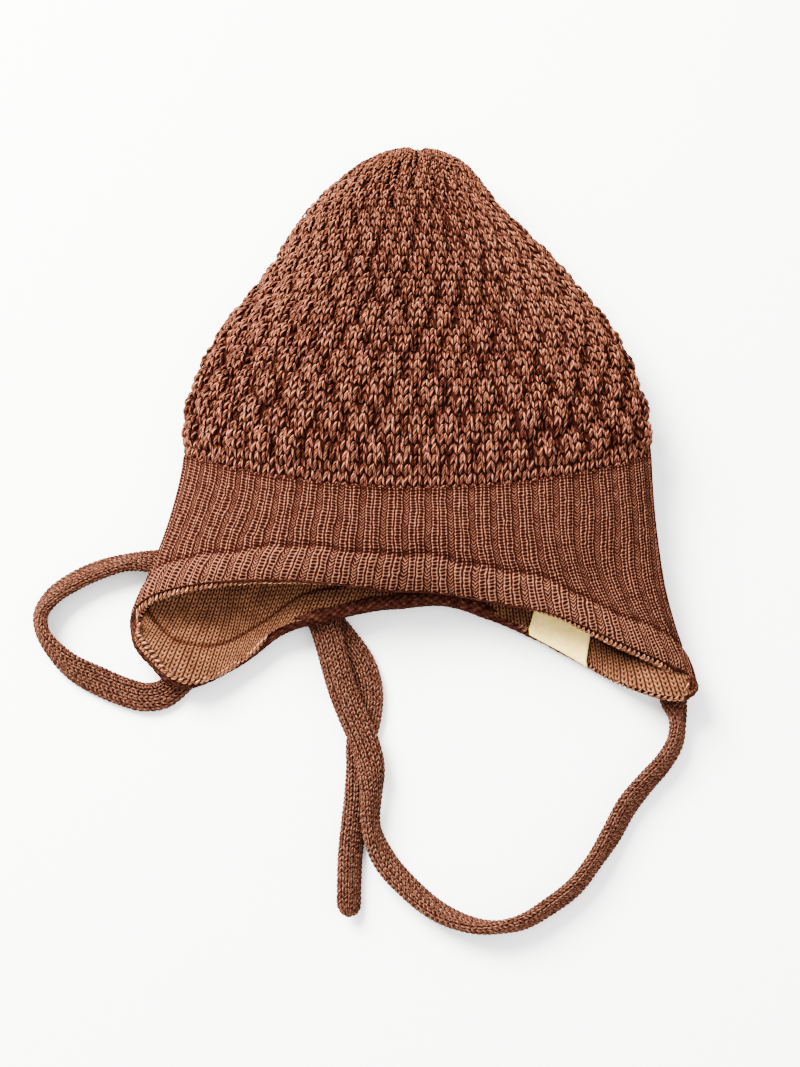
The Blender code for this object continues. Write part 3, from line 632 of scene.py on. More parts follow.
def face_grid():
    rounds = np.arange(GRID_COLUMNS) / GRID_COLUMNS
    places = np.stack([surface(rounds, rise) for rise in GRID_RISES])
    needed = np.stack([np.maximum(lift_over_ties(row) - row[:, 2], 0.0) for row in places])
    lift = np.where(rounds > 0.5, needed, 0.0)
    for _ in range(2):
        lift = soften(soften(lift, 5, 1), 5, 0)
    places[:, :, 2] += lift
    up = np.gradient(places, axis=0)
    on = np.roll(places, -2, axis=1) - np.roll(places, 2, axis=1)
    out = np.cross(up, on)
    out[-1] = np.array([0.0, 1.0, 0.0])
    return places, unit(out)


FACE_PLACES, FACE_DIRECTIONS = face_grid()
TIP = FACE_PLACES[-1].mean(axis=0)


def read_grid(grid, rounds, rises):
    across = (rounds % 1.0) * GRID_COLUMNS
    down = (np.clip(rises, -1.0, 1.0) + 1.0) / 2 * (len(GRID_RISES) - 1)
    left = np.floor(across).astype(int)
    low = np.minimum(np.floor(down).astype(int), len(GRID_RISES) - 2)
    u = (across - left)[..., None]
    v = (down - low)[..., None]
    left = left % GRID_COLUMNS
    right = (left + 1) % GRID_COLUMNS
    lower = grid[low, left] * (1 - u) + grid[low, right] * u
    upper = grid[low + 1, left] * (1 - u) + grid[low + 1, right] * u
    return lower * (1 - v) + upper * v


def on_bonnet(rounds, rises, height):
    """Points over the bonnet's outer face, or under it where the height is negative."""
    rounds, rises, height = np.broadcast_arrays(np.asarray(rounds, float), rises, height)
    points = read_grid(FACE_PLACES, rounds, rises) + outward_at(rounds, rises) * height[..., None]
    points[..., 2] = np.maximum(points[..., 2], 0.0)
    return points


def outward_at(rounds, rises):
    return unit(read_grid(FACE_DIRECTIONS, rounds, rises))


def free_of_table(rounds, rises):
    """1 where the knit is free, 0 where it is pressed on the table."""
    return ease((read_grid(FACE_PLACES, rounds, rises)[..., 2] - 0.0004) / 0.004)


BUBBLES_ROUND = 36
BUBBLE_ROWS = 17
BUBBLE_RELIEF = 0.0030
bubble_rng = np.random.default_rng(5)
BUBBLE_PLACES = bubble_rng.normal(0, 1, (BUBBLE_ROWS + 4, BUBBLES_ROUND, 3)) * (0.05, 0.07, 0.10)


def bubble_height(rounds, rises):
    """0 in the pits between bubbles, 1 on top of each; each row lies half a bubble along."""
    best = np.zeros(np.shape(rounds))
    middle = np.round(rises * BUBBLE_ROWS)
    for row in (middle - 1, middle, middle + 1):
        along = rounds * BUBBLES_ROUND - (row % 2) * 0.5
        which = np.round(along)
        own = BUBBLE_PLACES[np.clip(row, -1, BUBBLE_ROWS + 2).astype(int) + 1,
                            which.astype(int) % BUBBLES_ROUND]
        across = (along - which - own[..., 0]) / 0.51
        up = (rises * BUBBLE_ROWS - row - own[..., 1]) / 0.80
        best = np.maximum(best, (1 - across**2 - up**2) * (1 + own[..., 2]))
    return np.clip(best, 0, 1) ** 0.8


def open_side(rounds, rises):
    """1 towards the sides and the tip, where light gets in between the bubbles, else 0."""
    return ease((rises - 0.20) / 0.16) * ease((np.abs(rounds % 1.0 - 0.25) - 0.08) / 0.10)


def bubble_size(rounds, rises):
    """The bubbles start above the join, lie a little flatter to the sides and fade at the tip."""
    size = ease((rises - 0.012) / 0.03) * (1 - 0.65 * ease((rises - 0.50) / 0.40))
    return BUBBLE_RELIEF * size * (1 - 0.15 * open_side(rounds, rises))


# Soft pleats where the crown is drawn together: place round the bonnet at the upper and the
# lower end, rise of both ends, half width and depth (negative for a ridge)
PLEATS = (
    (0.279, 0.272, 0.82, 0.56, 0.0105, 0.0013),
    (0.256, 0.262, 0.82, 0.50, 0.0110, -0.0012),
    (0.232, 0.240, 0.80, 0.60, 0.0085, 0.0007),
    (0.185, 0.192, 0.78, 0.48, 0.0105, 0.0011),
    (0.150, 0.167, 0.76, 0.52, 0.0100, 0.0008),
    (0.345, 0.352, 0.82, 0.58, 0.0120, 0.0006),
    (0.208, 0.206, 1.00, 0.84, 0.0140, 0.0014),
    (0.640, 0.632, 0.90, 0.58, 0.0100, 0.0008),
    (0.700, 0.705, 0.90, 0.52, 0.0090, 0.0010),
    (0.780, 0.776, 0.90, 0.56, 0.0090, 0.0010),
    (0.860, 0.868, 0.90, 0.60, 0.0100, 0.0008),
)


def pleat_height(rounds, rises):
    height = np.zeros(np.shape(rounds))
    for top_round, low_round, top, low, half, depth in PLEATS:
        along = (rises - low) / (top - low)
        middle = low_round + (top_round - low_round) * along
        inside = ease((along + 0.15) / 0.35) * ease((1.15 - along) / 0.3)
        height -= depth * inside * np.exp(-(((rounds % 1.0) - middle) / half) ** 2)
    return height


GROUND_ROWS, GROUND_COLUMNS = 84, 200
GROUND_DEPTH = 0.0006


def crown_ground():
    rises = np.linspace(0.0005, 0.985, GROUND_ROWS)
    rounds = np.arange(GROUND_COLUMNS) / GROUND_COLUMNS
    across, up = np.meshgrid(rounds, rises)
    free = free_of_table(across, up)
    height = (bubble_height(across, up) * bubble_size(across, up) - 0.0004) * free - GROUND_DEPTH
    places = on_bonnet(across, up, height + pleat_height(across, up) * free).reshape(-1, 3)
    places = np.vstack([places, TIP - np.array([0, GROUND_DEPTH, 0])])
    faces = grid_faces(GROUND_ROWS, GROUND_COLUMNS, True)
    last = (GROUND_ROWS - 1) * GROUND_COLUMNS + np.arange(GROUND_COLUMNS)
    cap = np.stack([last, np.roll(last, -1), np.full(GROUND_COLUMNS, len(places) - 1)], axis=1)
    everything = np.vstack([faces[:, [0, 1, 2]], faces[:, [0, 2, 3]], cap])
    # The ground's depth of 0.85 is painted shade, as it shows only down between the stitches
    return new_mesh("crown_ground", places, everything,
                    {"tone": 0.2, "depth": 0.85, "lengthwise": 0, "roundwise": 0})


# Wales of the crown: from which rise to which, and how many go round
CROWN_WALES = (
    (-0.015, 0.44, 116),
    (0.44, 0.66, 94),
    (0.66, 0.83, 67),
    (0.83, 0.925, 42),
    (0.925, 0.985, 20),
)
CROWN_COURSES = 53


def crown_stitches(name, low_round, high_round, low_rise, high_rise, sides, points, seed):
    """Stocking stitches over the bubbles, in the part of the crown between these limits."""
    rng = np.random.default_rng(seed)
    lines, outs, widths, tones, painted_shades = [], [], [], [], []
    for start, end, wales in CROWN_WALES:
        first = int(round(start * CROWN_COURSES))
        last = int(round(end * CROWN_COURSES))
        wale, course, leg = (a.ravel() for a in np.meshgrid(
            np.arange(wales), np.arange(first, last), [-1, 1], indexing="ij"))
        jitter = rng.normal(0, 1, (len(wale), 4))
        middle = (wale + 0.5 + jitter[:, 0] * 0.07) / wales
        base = (course + jitter[:, 1] * 0.10) / CROWN_COURSES
        ok = (middle >= low_round) & (middle < high_round) & (course >= low_rise * CROWN_COURSES)
        ok &= course < high_rise * CROWN_COURSES
        if not ok.any():
            continue
        leg, jitter, middle, base = (a[ok] for a in (leg, jitter, middle, base))
        middle = middle + 0.006 * np.sin(base * 19 + middle * 38) * ease((base - 0.4) / 0.3)
        t = np.linspace(0, 1, points)[None, :]
        spread = (0.07 + (0.38 + jitter[:, 2:3] * 0.05) * t**0.9) * leg[:, None] / wales
        around = middle[:, None] + spread
        up = base[:, None] + t * 1.35 / CROWN_COURSES
        bubble = bubble_height(around, up)
        size = bubble_size(around, up)
        free = free_of_table(around, up)
        arch = np.sin(t**0.75 * math.pi) * 0.00055 - 0.0003 * t
        height = (bubble * size - 0.0006 + arch) * (0.25 + 0.75 * free) - 0.0007 * (1 - free)
        height = height + pleat_height(around, up) * free
        # The first row starts under the band's edge
        height = height - 0.0013 * (1 - ease((up + 0.019) / 0.022))
        lines.append(on_bonnet(around, up, height))
        outs.append(outward_at(around, up))
        step = np.linalg.norm(on_bonnet(middle + 0.5 / wales, base, 0.0)
                              - on_bonnet(middle - 0.5 / wales, base, 0.0), axis=1)
        widths.append(np.clip(step * 0.22, 0.0004, 0.00080) * (1 + jitter[:, 3] * 0.05))
        tones.append(rng.uniform(0, 1, len(leg)))
        # Painted shade: darker in the pits between the bubbles and in the pleats' furrows; the
        # first rows at the join with the band are darker too
        pit_shade = (1 - bubble) * size / BUBBLE_RELIEF * ease(up / 0.02)
        pit_shade = pit_shade * (1 - 0.55 * open_side(around, up))
        furrow_shade = np.maximum(-pleat_height(around, up), 0) / 0.0016
        join = 0.55 * (1 - ease(up / 0.030))
        painted_shades.append(np.clip(pit_shade * 1.35 - 0.24 + furrow_shade * 0.25 + join, -0.15, 1))
    width = np.concatenate(widths)
    return strand_mesh(name, np.concatenate(lines), np.concatenate(outs), width, width * 0.9, sides,
                       {"tone": np.concatenate(tones), "depth": np.concatenate(painted_shades)})


CROWN_WOOL = marled_wool("crown_wool", "#1A0805", "#2C0F08", "#482B20", "#824D37")
ground = crown_ground()
ground.data.materials.append(CROWN_WOOL)
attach(ground, "root")
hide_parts("crown")
for name, low_round, high_round, low_rise, high_rise, sides, points, seed in (
        ("crown_stitches_near_low", -0.01, 0.51, -1.0, 0.36, 6, 6, 21),
        ("crown_stitches_near_high", -0.01, 0.51, 0.36, 1.0, 6, 6, 22),
        ("crown_stitches_far", 0.51, 1.01, -1.0, 1.0, 4, 5, 23)):
    stitches = crown_stitches(name, low_round, high_round, low_rise, high_rise, sides, points, seed)
    stitches.data.materials.append(CROWN_WOOL)
    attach(stitches, "root")


# Band: one fine grid of knitted rib over the flaps, near wall and far wall. Two ladders of
# loops stand up with a sunk line between them, then comes a sunk column of slanted stitches
RIBS_ROUND = 49
RIB_RELIEF = 0.0006
RIB_COURSE = 0.00115
HEM_DEPTH = 0.012
HEM_DENT = 0.0003


def band_length(rounds):
    return np.linalg.norm(rim_loop(rounds) - crown_loop(rounds, 0.0), axis=1)


def rib_profile(x):
    """Height across one rib, x 0 to 1: ladder, line, ladder, sunk column."""
    ladder = lambda middle: np.exp(-(np.abs(x - middle) / 0.155) ** 4)
    return np.maximum(ladder(0.18), ladder(0.56))


def rib_wander(rounds, shares):
    """How far the ribs wander sideways, in ribs: they bend together, most at the flaps."""
    right = ease(1 - np.abs(rounds - 0.05) / 0.13) * ease(shares * 1.6)
    left = ease(1 - np.abs(rounds - 0.45) / 0.10) * ease(shares * 1.6)
    bend = np.sin(shares * 7 + rounds * 16) * (0.26 * right + 0.06 * left)
    return bend + 0.03 * np.sin(shares * 9 + rounds * 75) * ease(shares * 2)


def hem_line(rounds, length):
    """Where the hem's sewn line lies, as a share of the band: not quite even."""
    wobble = 0.0005 * np.sin(rounds * 57) + 0.0004 * np.sin(rounds * 131 + 2)
    return 1 - (HEM_DEPTH + wobble) / length


def band_wall(name, low_round, high_round, columns, rows):
    rounds = np.linspace(low_round, high_round, columns)
    shares = np.linspace(0.0, 1.0, rows)
    across, down = np.meshgrid(rounds, shares)
    length = band_length(rounds % 1.0)[None, :]
    edge = 0.00015 / length
    share = edge + (1 - edge) * down
    ribs = across * RIBS_ROUND + rib_wander(across % 1.0, share)
    ribs = ribs + 0.08 * np.exp(-((share - hem_line(across, length)) * length / 0.003) ** 2)
    profile = rib_profile(ribs % 1.0)
    free = free_of_table(across, -share)
    below = (share - hem_line(across, length)) * length
    crease = np.exp(-(below / 0.0009) ** 2)
    hem = ease(below / 0.002)
    puff = 0.0006 * ease(below / 0.004) * ease((1 - share) * length / 0.005)
    tuck = np.exp(-((share - 1) * length / 0.0012) ** 2)
    height = RIB_RELIEF * (profile - 0.62) - HEM_DENT * crease + puff - 0.0005 * tuck
    start = ease(share * length / 0.0015)
    height = height * start * (0.15 + 0.85 * free) - 0.0002 * (1 - free)
    places = on_bonnet(across, -share, height)
    uv = np.stack([ribs, share * length / RIB_COURSE + np.zeros_like(across)], axis=-1)
    # Painted shade darkens the hem's crease and painted light brightens the puffed hem below it;
    # the band is also darker within 3 mm of the join
    top = 1 - ease(share * length / 0.003)
    values = {"depth": (np.clip(crease, 0, 1) * 0.42 + top * 0.45 - hem * 0.32).ravel()}
    return new_mesh(name, places.reshape(-1, 3), grid_faces(rows, columns, False), values,
                    uv.reshape(-1, 2))


# Across one rib: place, then how much of a side line, of a rung and of a slanted stitch is there
RIB_PARTS = (
    (0.005, 0.0, 0.0, 0.0), (0.045, 1.0, 0.0, 0.0), (0.075, 1.0, 0.2, 0.0), (0.110, 0.0, 1.0, 0.0),
    (0.240, 0.0, 1.0, 0.0), (0.275, 1.0, 0.2, 0.0), (0.305, 1.0, 0.0, 0.0), (0.340, 0.0, 0.0, 0.0),
    (0.380, 0.0, 0.0, 0.0), (0.415, 1.0, 0.0, 0.0), (0.445, 1.0, 0.2, 0.0), (0.480, 0.0, 1.0, 0.0),
    (0.610, 0.0, 1.0, 0.0), (0.645, 1.0, 0.2, 0.0), (0.675, 1.0, 0.0, 0.0), (0.710, 0.0, 0.0, 0.0),
    (0.725, 0.0, 0.0, 0.3), (0.755, 0.0, 0.0, 1.0), (0.945, 0.0, 0.0, 1.0), (0.980, 0.0, 0.0, 0.3),
)


def weave_parts(tree, mottles):
    """What the drawn knits start from: where a point is, which wale and which course it lies
    in, and two noises. Fibres are too fine to show and are drawn 0.7 mm wide, 1500 a metre."""
    place = add(tree, "ShaderNodeTexCoord").outputs["Object"]
    weave = add(tree, "ShaderNodeUVMap", uv_map="weave")
    both = add(tree, "ShaderNodeSeparateXYZ", {"Vector": weave})
    fibre, mottle = (
        add(tree, "ShaderNodeTexNoise", {"Vector": place, "Scale": scale, "Detail": 2.0})
        for scale in (1500.0, mottles))
    return place, both.outputs["X"], both.outputs["Y"], fibre, mottle


def rib_knit(name, dark, middle, light):
    """Wool knitted in rib by machine: ladders with square dark holes between two bright side
    lines, and columns of slanted stitches, matt and a little mottled."""
    material, tree, shader = new_material(name)
    place, x, y, fibre, mottle = weave_parts(tree, 260.0)
    # Each stitch sits a little off its place, by 3 mm waves
    sway = add(tree, "ShaderNodeTexNoise", {"Vector": place, "Scale": 330.0, "Detail": 2.0})
    aside = add(tree, "ShaderNodeMath", {0: sway, 1: 0.16, 2: x}, operation="MULTIPLY_ADD")
    down = add(tree, "ShaderNodeMath", {0: sway, 1: 1.3, 2: y}, operation="MULTIPLY_ADD")
    rib = add(tree, "ShaderNodeMath", {0: aside}, operation="FRACT")
    across = add(tree, "ShaderNodeValToRGB", {"Fac": rib})
    across.color_ramp.elements[1].color = (0, 0, 0, 1)
    for at, line, rung, slant in RIB_PARTS:
        across.color_ramp.elements.new(at).color = (line, rung, slant, 1)
    parts = add(tree, "ShaderNodeSeparateColor", {"Color": across}).outputs
    wave = sine_wave(tree, down, 2 * math.pi)
    beat = add(tree, "ShaderNodeMath", {0: wave, 1: 0.20, 2: 0.80}, operation="MULTIPLY_ADD")
    lines = add(tree, "ShaderNodeMath", {0: parts["Red"], 1: beat}, operation="MULTIPLY")
    half = add(tree, "ShaderNodeMath", {0: wave, 1: 0.5, 2: 0.5}, operation="MULTIPLY_ADD")
    thin = add(tree, "ShaderNodeMath", {0: half, 1: 2.0}, operation="POWER")
    rungs = add(tree, "ShaderNodeMath", {0: parts["Green"], 1: thin}, operation="MULTIPLY")
    # The slanted stitches point down the middle of their column, as in a herringbone
    off = add(tree, "ShaderNodeMath", {0: rib, 1: 0.85}, operation="SUBTRACT")
    away = add(tree, "ShaderNodeMath", {0: off}, operation="ABSOLUTE")
    lean = add(tree, "ShaderNodeMath", {0: away, 1: 8.0, 2: down}, operation="MULTIPLY_ADD")
    tooth = sine_wave(tree, lean, 2 * math.pi)
    bone = add(tree, "ShaderNodeMath", {0: tooth, 1: 0.36, 2: 0.41}, operation="MULTIPLY_ADD")
    bones = add(tree, "ShaderNodeMath", {0: parts["Blue"], 1: bone}, operation="MULTIPLY")
    ladder = add(tree, "ShaderNodeMath", {0: rungs, 1: 0.72, 2: lines}, operation="MULTIPLY_ADD")
    knit = add(tree, "ShaderNodeMath", {0: ladder, 1: bones}, operation="ADD")
    # depth brings the band's painted shade in the hem's crease and painted light on the hem
    depth = add(tree, "ShaderNodeAttribute", attribute_name="depth").outputs["Fac"]
    finish_cloth(tree, shader, -0.68,
                 ((fibre, 0.55), (mottle, 0.40), (depth, -0.5), (knit, 1.12)),
                 ((0.18, dark), (0.50, middle), (0.88, light)), knit)
    return material


RIB_WOOL = rib_knit("rib_wool", "#160503", "#341C15", "#704735")
band_near = band_wall("band_near", 0.0, 0.5, 301, 230)
band_far = band_wall("band_far", 0.5, 1.0, 221, 130)
for wall in (band_near, band_far):
    wall.data.materials.append(RIB_WOOL)
    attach(wall, "root")
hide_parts("band")


# Turned edge: the band's own knit goes round the rim and shows its purl side there. In the
# middle of the far wall it is rolled further in, over the lining
ROLL_CENTRE = 0.745
ROLL_REACH = 0.115
FULL_ROLL = 0.55
EDGE_COLUMNS = 600
# Beyond the rim and in from the face: the edge held back behind the lip, the plain turned
# edge, and the rolled one
HELD_EDGE = ((0.0, 0.0003), (0.0001, 0.0003), (0.0003, 0.0006), (0.0003, 0.0010), (0.0002, 0.0014),
             (-0.0004, 0.0018), (-0.0012, 0.0020))
TURNED_EDGE = ((0.0, 0.0003), (0.0005, 0.0003), (0.0009, 0.0009), (0.0009, 0.0017),
               (0.0005, 0.0024), (-0.0004, 0.0028), (-0.0012, 0.0028))
ROLLED_EDGE = ((0.0, 0.0003), (0.0006, 0.0004), (0.0012, 0.0015), (0.0011, 0.0033),
               (-0.0002, 0.0050), (-0.0024, 0.0054), (-0.0031, 0.0046))


def between(rounds, start, full, past, end):
    """0 outside start and end, 1 from full to past, smooth between; all are places round."""
    return ease((rounds - start) / (full - start)) * ease((end - rounds) / (end - past))


def far_roll(rounds):
    """How much the edge is rolled inward in the far wall's middle."""
    away = np.abs(rounds - ROLL_CENTRE) / ROLL_REACH
    return 1 - ease((away - FULL_ROLL) / (1 - FULL_ROLL))


def fold_room(rounds):
    """How much of its thickness the flap keeps where the right one folds sharply."""
    rounds = rounds % 1.0
    return 0.2 + 0.8 * np.where(rounds > 0.5, ease((1.0 - rounds) / 0.030), ease(rounds / 0.006))


def edge_form(rounds):
    """-1 where the edge is held back behind the lip, 0 where it is plain, 1 where it is rolled."""
    rounds = rounds % 1.0
    ears = (0.85 * between(rounds, 0.496, 0.512, 0.535, 0.580)
            + between(rounds, 0.976, 0.986, 1.0, 1.02))
    held = between(rounds, 0.030, 0.045, 0.13, 0.17) + between(rounds, 0.385, 0.42, 0.488, 0.498)
    return np.clip(np.maximum(far_roll(rounds), ears) - held, -1, 1)


def ahead_at(rounds):
    """The way that the band's knit points as it reaches the rim."""
    return unit(on_bonnet(rounds, -1.0, 0.0) - on_bonnet(rounds, -0.96, 0.0))


def edge_point(rounds, forward, depth):
    points = on_bonnet(rounds, -1.0, 0.0) + ahead_at(rounds) * forward[..., None]
    points = points - outward_at(rounds, np.full(rounds.shape, -1.0)) * depth[..., None]
    points[..., 2] = np.maximum(points[..., 2], 0.0)
    return points


def turned_edge():
    rounds = np.arange(EDGE_COLUMNS) / EDGE_COLUMNS
    form = edge_form(rounds)
    shares = (np.maximum(-form, 0), 1 - np.abs(form), np.maximum(form, 0))
    turn = rounds * 2 * math.pi
    uneven = 1 + 0.10 * np.sin(turn * 31) + 0.07 * np.sin(turn * 47 + 1)
    # A little more of the dark knit shows under the left ear's tip, where the tie is sewn on
    tip = 0.0016 * np.exp(-((rounds - 0.577) / 0.018) ** 2)
    steps = np.linspace(0, len(TURNED_EDGE) - 1, 19)
    rows = []
    for step in steps:
        forward, depth = (
            sum(share * np.interp(step, range(len(profile)), [row[k] for row in profile])
                for share, profile in zip(shares, (HELD_EDGE, TURNED_EDGE, ROLLED_EDGE)))
            for k in (0, 1))
        gone = step / (len(TURNED_EDGE) - 1)
        bulge = math.sin(gone * math.pi)
        purl = 0.00022 * bulge * np.sin(turn * 150 + step * 3.0)
        back = -0.0025 * between(rounds, 0.976, 0.988, 1.0, 1.02) * gone**3
        deep = 1 + 0.6 * between(rounds, -0.01, 0.0, 0.018, 0.034)
        rows.append(edge_point(rounds, forward * uneven + purl + tip * bulge + back,
                               depth * deep * fold_room(rounds)))
    uv = np.stack([np.tile(rounds * 300, len(steps)), np.repeat(steps * 0.8, EDGE_COLUMNS)], axis=1)
    return new_mesh("turned_edge", np.stack(rows).reshape(-1, 3),
                    grid_faces(len(steps), EDGE_COLUMNS, True), None, uv)


def purl_knit(name, dark, middle, light):
    """The back of the same wool knit: short raised arcs of yarn, each row shifted by half,
    with dark between them, so the edge looks deeper in colour than the ribs."""
    material, tree, shader = new_material(name)
    place, x, y, fibre, mottle = weave_parts(tree, 420.0)
    waves = [sine_wave(tree, axis, rate) for axis, rate in ((x, math.pi), (y, 2 * math.pi))]
    arcs = add(tree, "ShaderNodeMath", {0: waves[0], 1: waves[1]}, operation="MULTIPLY")
    finish_cloth(tree, shader, -0.40, ((fibre, 0.6), (mottle, 0.8), (arcs, 0.16)),
                 ((0.10, dark), (0.42, middle), (0.80, light)), arcs)
    return material


edge = turned_edge()
edge.data.materials.append(purl_knit("purl_wool", "#180503", "#2E1610", "#563325"))
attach(edge, "root")


# Lining: a thinner caramel wool in fine rib, turned in at the rim as a hem with a sewn line
LINING_WALES = 172
LINING_COURSE = 0.0015
LINING_IN = KNIT_WALL + LAYER_GAP + LINING_WALL


def lining_sheet():
    columns = 330
    rounds = np.arange(columns) / columns
    rises = np.concatenate([np.linspace(-1.0, -0.55, 62, endpoint=False),
                            np.linspace(-0.55, 0.97, 60)])
    across, up = np.meshgrid(rounds, rises)
    length = band_length(rounds)[None, :]
    below = (-up - hem_line(across, length)) * length
    crease = np.exp(-(below / 0.0007) ** 2)
    hem = ease(below / 0.0025)
    height = -LINING_IN + 0.0005 * crease - 0.0003 * hem
    height = height * (1 - (1 - fold_room(across)) * ease((-up - 0.4) / 0.3))
    places = on_bonnet(across, up, height).reshape(-1, 3)
    courses = (np.maximum(-up, 0) * length - np.maximum(up, 0) * CROWN_LENGTH) / LINING_COURSE
    uv = np.stack([across * LINING_WALES, courses], axis=-1)
    # Painted shade along the hem's crease
    values = {"depth": crease.ravel()}
    return new_mesh("lining_sheet", places, grid_faces(len(rises), columns, True), values,
                    uv.reshape(-1, 2))


def fine_rib(name, dark, middle, light):
    """Thin caramel wool in fine machine rib: two light legs to each wale, with a column of
    small dark holes between them and a dark gap from wale to wale."""
    material, tree, shader = new_material(name)
    place, x, y, fibre, mottle = weave_parts(tree, 240.0)
    wale = add(tree, "ShaderNodeMath", {0: x}, operation="FRACT")
    off = add(tree, "ShaderNodeMath", {0: wale, 1: 0.5}, operation="SUBTRACT")
    away = add(tree, "ShaderNodeMath", {0: off}, operation="ABSOLUTE")
    gap, core = (
        add(tree, "ShaderNodeMapRange", {"Value": away, "From Min": low, "From Max": high,
                                         "To Min": start, "To Max": 1.0 - start},
            interpolation_type="SMOOTHSTEP")
        for low, high, start in ((0.34, 0.48, 1.0), (0.16, 0.03, 0.0)))
    lean = add(tree, "ShaderNodeMath", {0: away, 1: 1.6, 2: y}, operation="MULTIPLY_ADD")
    wave = sine_wave(tree, lean, 2 * math.pi)
    leg = add(tree, "ShaderNodeMath", {0: wave, 1: 0.18, 2: 0.82}, operation="MULTIPLY_ADD")
    open_part = add(tree, "ShaderNodeMath", {0: wave, 1: -0.5, 2: 0.62}, operation="MULTIPLY_ADD")
    hole = add(tree, "ShaderNodeMath", {0: core, 1: open_part}, operation="MULTIPLY")
    solid = add(tree, "ShaderNodeMath", {0: leg, 1: hole}, operation="SUBTRACT")
    knit = add(tree, "ShaderNodeMath", {0: gap, 1: solid}, operation="MULTIPLY")
    # depth darkens the lining along its crease: painted shade
    depth = add(tree, "ShaderNodeAttribute", attribute_name="depth").outputs["Fac"]
    finish_cloth(tree, shader, -0.40,
                 ((fibre, 0.45), (mottle, 0.40), (depth, -0.35), (knit, 0.66)),
                 ((0.12, dark), (0.50, middle), (0.90, light)), knit)
    return material


lining = lining_sheet()
lining.data.materials.append(fine_rib("lining_wool", "#1C0803", "#44291B", "#7E5238"))
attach(lining, "root")
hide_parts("lining")


# Lip: a row of slanted caramel chain stitches that joins the lining to the turned edge, all
# the way round but for the far wall's middle
LIP_STITCHES = 248
# Where a stitch starts and ends beyond the rim and in from the face, and the way it bulges,
# for an edge that is held back, plain and rolled
LIP_FORMS = (
    ((0.0003, 0.0008), (0.0001, 0.0042), (1.0, 0.0)),
    ((0.0002, 0.0022), (-0.0003, 0.0050), (1.0, 0.1)),
    ((-0.0020, 0.0048), (-0.0050, 0.0046), (0.1, 1.0)),
)


def lip_chain():
    rng = np.random.default_rng(31)
    start = (np.arange(LIP_STITCHES) + rng.normal(0, 0.05, LIP_STITCHES)) / LIP_STITCHES
    start = start[(far_roll(start % 1.0) < 0.3) & (start > 0.003) & (start < 0.986)][:, None]
    form = edge_form(start)
    shares = (np.maximum(-form, 0), 1 - np.abs(form), np.maximum(form, 0))
    first, last, bulge = (
        [sum(share * row[point][k] for share, row in zip(shares, LIP_FORMS)) for k in (0, 1)]
        for point in (0, 1, 2))
    t = np.linspace(0, 1, 7)[None, :]
    rounds = start + (t - 0.5) * 1.2 / LIP_STITCHES
    thick = between(start, -0.01, 0.0, 0.10, 0.15) + 0.6 * between(start, 0.40, 0.46, 0.55, 0.60)
    arch = (0.0010 + 0.0007 * thick) * np.sin(t * math.pi)
    forward = first[0] + (last[0] - first[0]) * t + bulge[0] * arch
    depth = first[1] + (last[1] - first[1]) * t + bulge[1] * arch
    depth = (depth + 0.0014 * between(rounds, -0.01, 0.0, 0.018, 0.034)) * fold_room(rounds)
    lines = edge_point(rounds, forward, depth)
    facing = unit(ahead_at(rounds) * bulge[0][..., None]
                  - outward_at(rounds, np.full(rounds.shape, -1.0)) * bulge[1][..., None])
    width = (0.00062 + 0.00014 * thick[:, 0]) * rng.uniform(0.92, 1.08, len(start))
    return strand_mesh("lip_chain", lines, facing, width, width * 0.95, 6,
                       {"tone": rng.uniform(0, 1, len(start)), "depth": np.zeros(len(start))})


lip = lip_chain()
lip.data.materials.append(marled_wool("lip_wool", "#2A130B", "#3A1B10", "#704831", "#A06E52"))
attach(lip, "root")


# Label: a loop of plain cream cotton tape, pressed flat and sewn into the lining at the far
# wall's right. Its fold hangs a little over the rim
LABEL_WIDTH = 0.0235
LABEL_DEPTH = 0.0140
LABEL_ROUND = 0.8745
LABEL_LEAN = 0.0105
LABEL_OVERHANG = 0.002
LABEL_LIFT = 0.0006
LABEL_THICKNESS = 0.0006
TAPE_THREAD = 0.0005


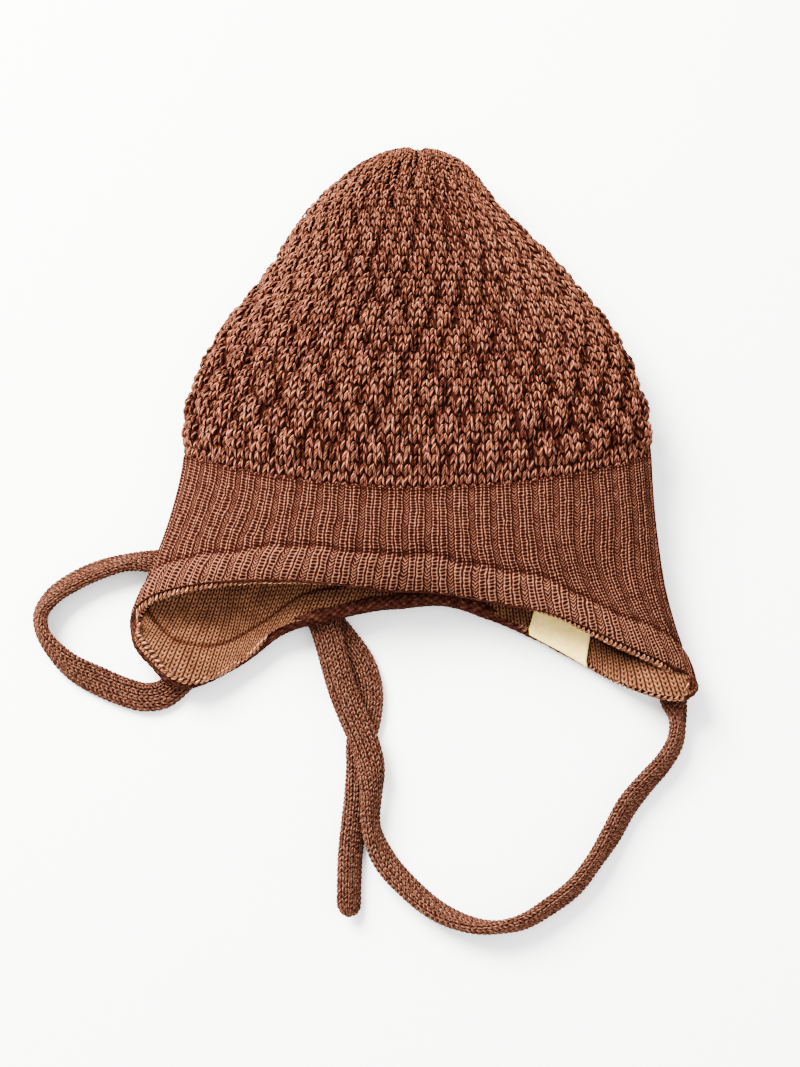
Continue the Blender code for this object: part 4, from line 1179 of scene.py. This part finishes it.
def label_tape():
    columns, rows = 25, 13
    middle = on_bonnet(np.array([LABEL_ROUND - 0.01, LABEL_ROUND + 0.01]), -1.0, -LINING_IN)
    reach = LABEL_WIDTH / 2 / (np.linalg.norm(middle[1] - middle[0]) / 0.02)
    across = np.linspace(-1, 1, columns)
    share = (LABEL_DEPTH - LABEL_OVERHANG) / float(band_length(np.array([LABEL_ROUND]))[0])
    sides = []
    for lift in (LABEL_LIFT, LABEL_LIFT + LABEL_THICKNESS):
        lines = []
        for along in np.linspace(0, LABEL_DEPTH, rows):
            up = max(along - LABEL_OVERHANG, 0.0) / (LABEL_DEPTH - LABEL_OVERHANG)
            over = max(LABEL_OVERHANG - along, 0.0) / LABEL_OVERHANG
            rounds = LABEL_ROUND + across * reach + LABEL_LEAN * up
            curl = 0.0003 * across**2 * (1 - up) + 0.0002 * np.sin(across * 4 + 1) * (1 - up)
            line = on_bonnet(rounds, -1 + share * up, -(LINING_IN + LAYER_GAP + lift + curl))
            line = line + ahead_at(rounds) * LABEL_OVERHANG * over
            line[:, 2] -= 0.0008 * over**2
            lines.append(line)
        sides.append(np.stack(lines))
    places = np.concatenate(sides).reshape(-1, 3)
    under = grid_faces(rows, columns, False)
    half = rows * columns
    rim = np.concatenate([np.arange(columns), columns - 1 + columns * np.arange(1, rows),
                          half - 2 - np.arange(columns - 1), columns * np.arange(rows - 2, 0, -1)])
    after = np.roll(rim, -1)
    walls = np.stack([rim, rim + half, after + half, after], axis=1)
    everything = np.vstack([under, under[:, ::-1] + half, walls])
    corner = np.stack(np.meshgrid(across * LABEL_WIDTH / 2, np.linspace(0, LABEL_DEPTH, rows)),
                      axis=-1)
    uv = np.tile(corner.reshape(-1, 2) / TAPE_THREAD, (2, 1))
    return new_mesh("label_tape", places, everything, None, uv)


def cotton_tape(name, colour, shaded):
    """Plain woven cotton tape: matt cream, with a hint of crossing threads and slubs. Its
    0.25 mm threads are too fine to show and are drawn TAPE_THREAD wide."""
    material, tree, shader = new_material(name)
    weave = add(tree, "ShaderNodeUVMap", uv_map="weave")
    both = add(tree, "ShaderNodeSeparateXYZ", {"Vector": weave})
    waves = [sine_wave(tree, both.outputs[axis], math.pi) for axis in ("X", "Y")]
    plain = add(tree, "ShaderNodeMath", {0: waves[0], 1: waves[1]}, operation="MULTIPLY")
    place = add(tree, "ShaderNodeTexCoord").outputs["Object"]
    slub = add(tree, "ShaderNodeTexNoise", {"Vector": place, "Scale": 500.0, "Detail": 3.0})
    finish_cloth(tree, shader, slub, ((plain, 0.15),), ((0.2, shaded), (0.7, colour)), plain,
                 0.3, 0.0001, 0.75)
    return material


label = label_tape()
label.data.materials.append(cotton_tape("cotton_tape", "#ECCF7A", "#D4B45E"))
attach(label, "root")
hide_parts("label")


# Table and light: a plain white table under a large soft light from the upper left
TABLE_HALF = 3
TABLE_HEIGHT = -0.0004
table_mesh = bpy.data.meshes.new("table")
table_mesh.from_pydata([(x * TABLE_HALF, y * TABLE_HALF, TABLE_HEIGHT)
                        for x, y in ((-1, -1), (1, -1), (1, 1), (-1, 1))], [], [(0, 1, 2, 3)])
table = bpy.data.objects.new("table", table_mesh)
bpy.context.collection.objects.link(table)
table_paint, _, table_shader = new_material("white_table")
table_shader.inputs["Base Color"].default_value = linear("#FAFAF8")
table_shader.inputs["Roughness"].default_value = 0.6
table_mesh.materials.append(table_paint)

world = bpy.data.worlds.new("studio")
bpy.context.scene.world = world
world.use_nodes = True
world.node_tree.nodes["Background"].inputs["Color"].default_value = linear("#FFFFFF")
world.node_tree.nodes["Background"].inputs["Strength"].default_value = 3.2


def area_light(name, place, target, size, power, colour):
    data = bpy.data.lights.new(name, "AREA")
    data.size = size
    data.energy = power
    data.color = linear(colour)[:3]
    lamp = bpy.data.objects.new(name, data)
    lamp.location = place
    lamp.rotation_euler = (Vector(target) - Vector(place)).to_track_quat("-Z", "Y").to_euler()
    bpy.context.collection.objects.link(lamp)


area_light("key_light", (-0.75, 0.65, 0.95), (0, 0, 0), 0.8, 235, "#FFFDF8")
area_light("fill_light", (0.9, -0.6, 1.3), (0, 0, 0), 1.2, 18, "#F6F9FF")
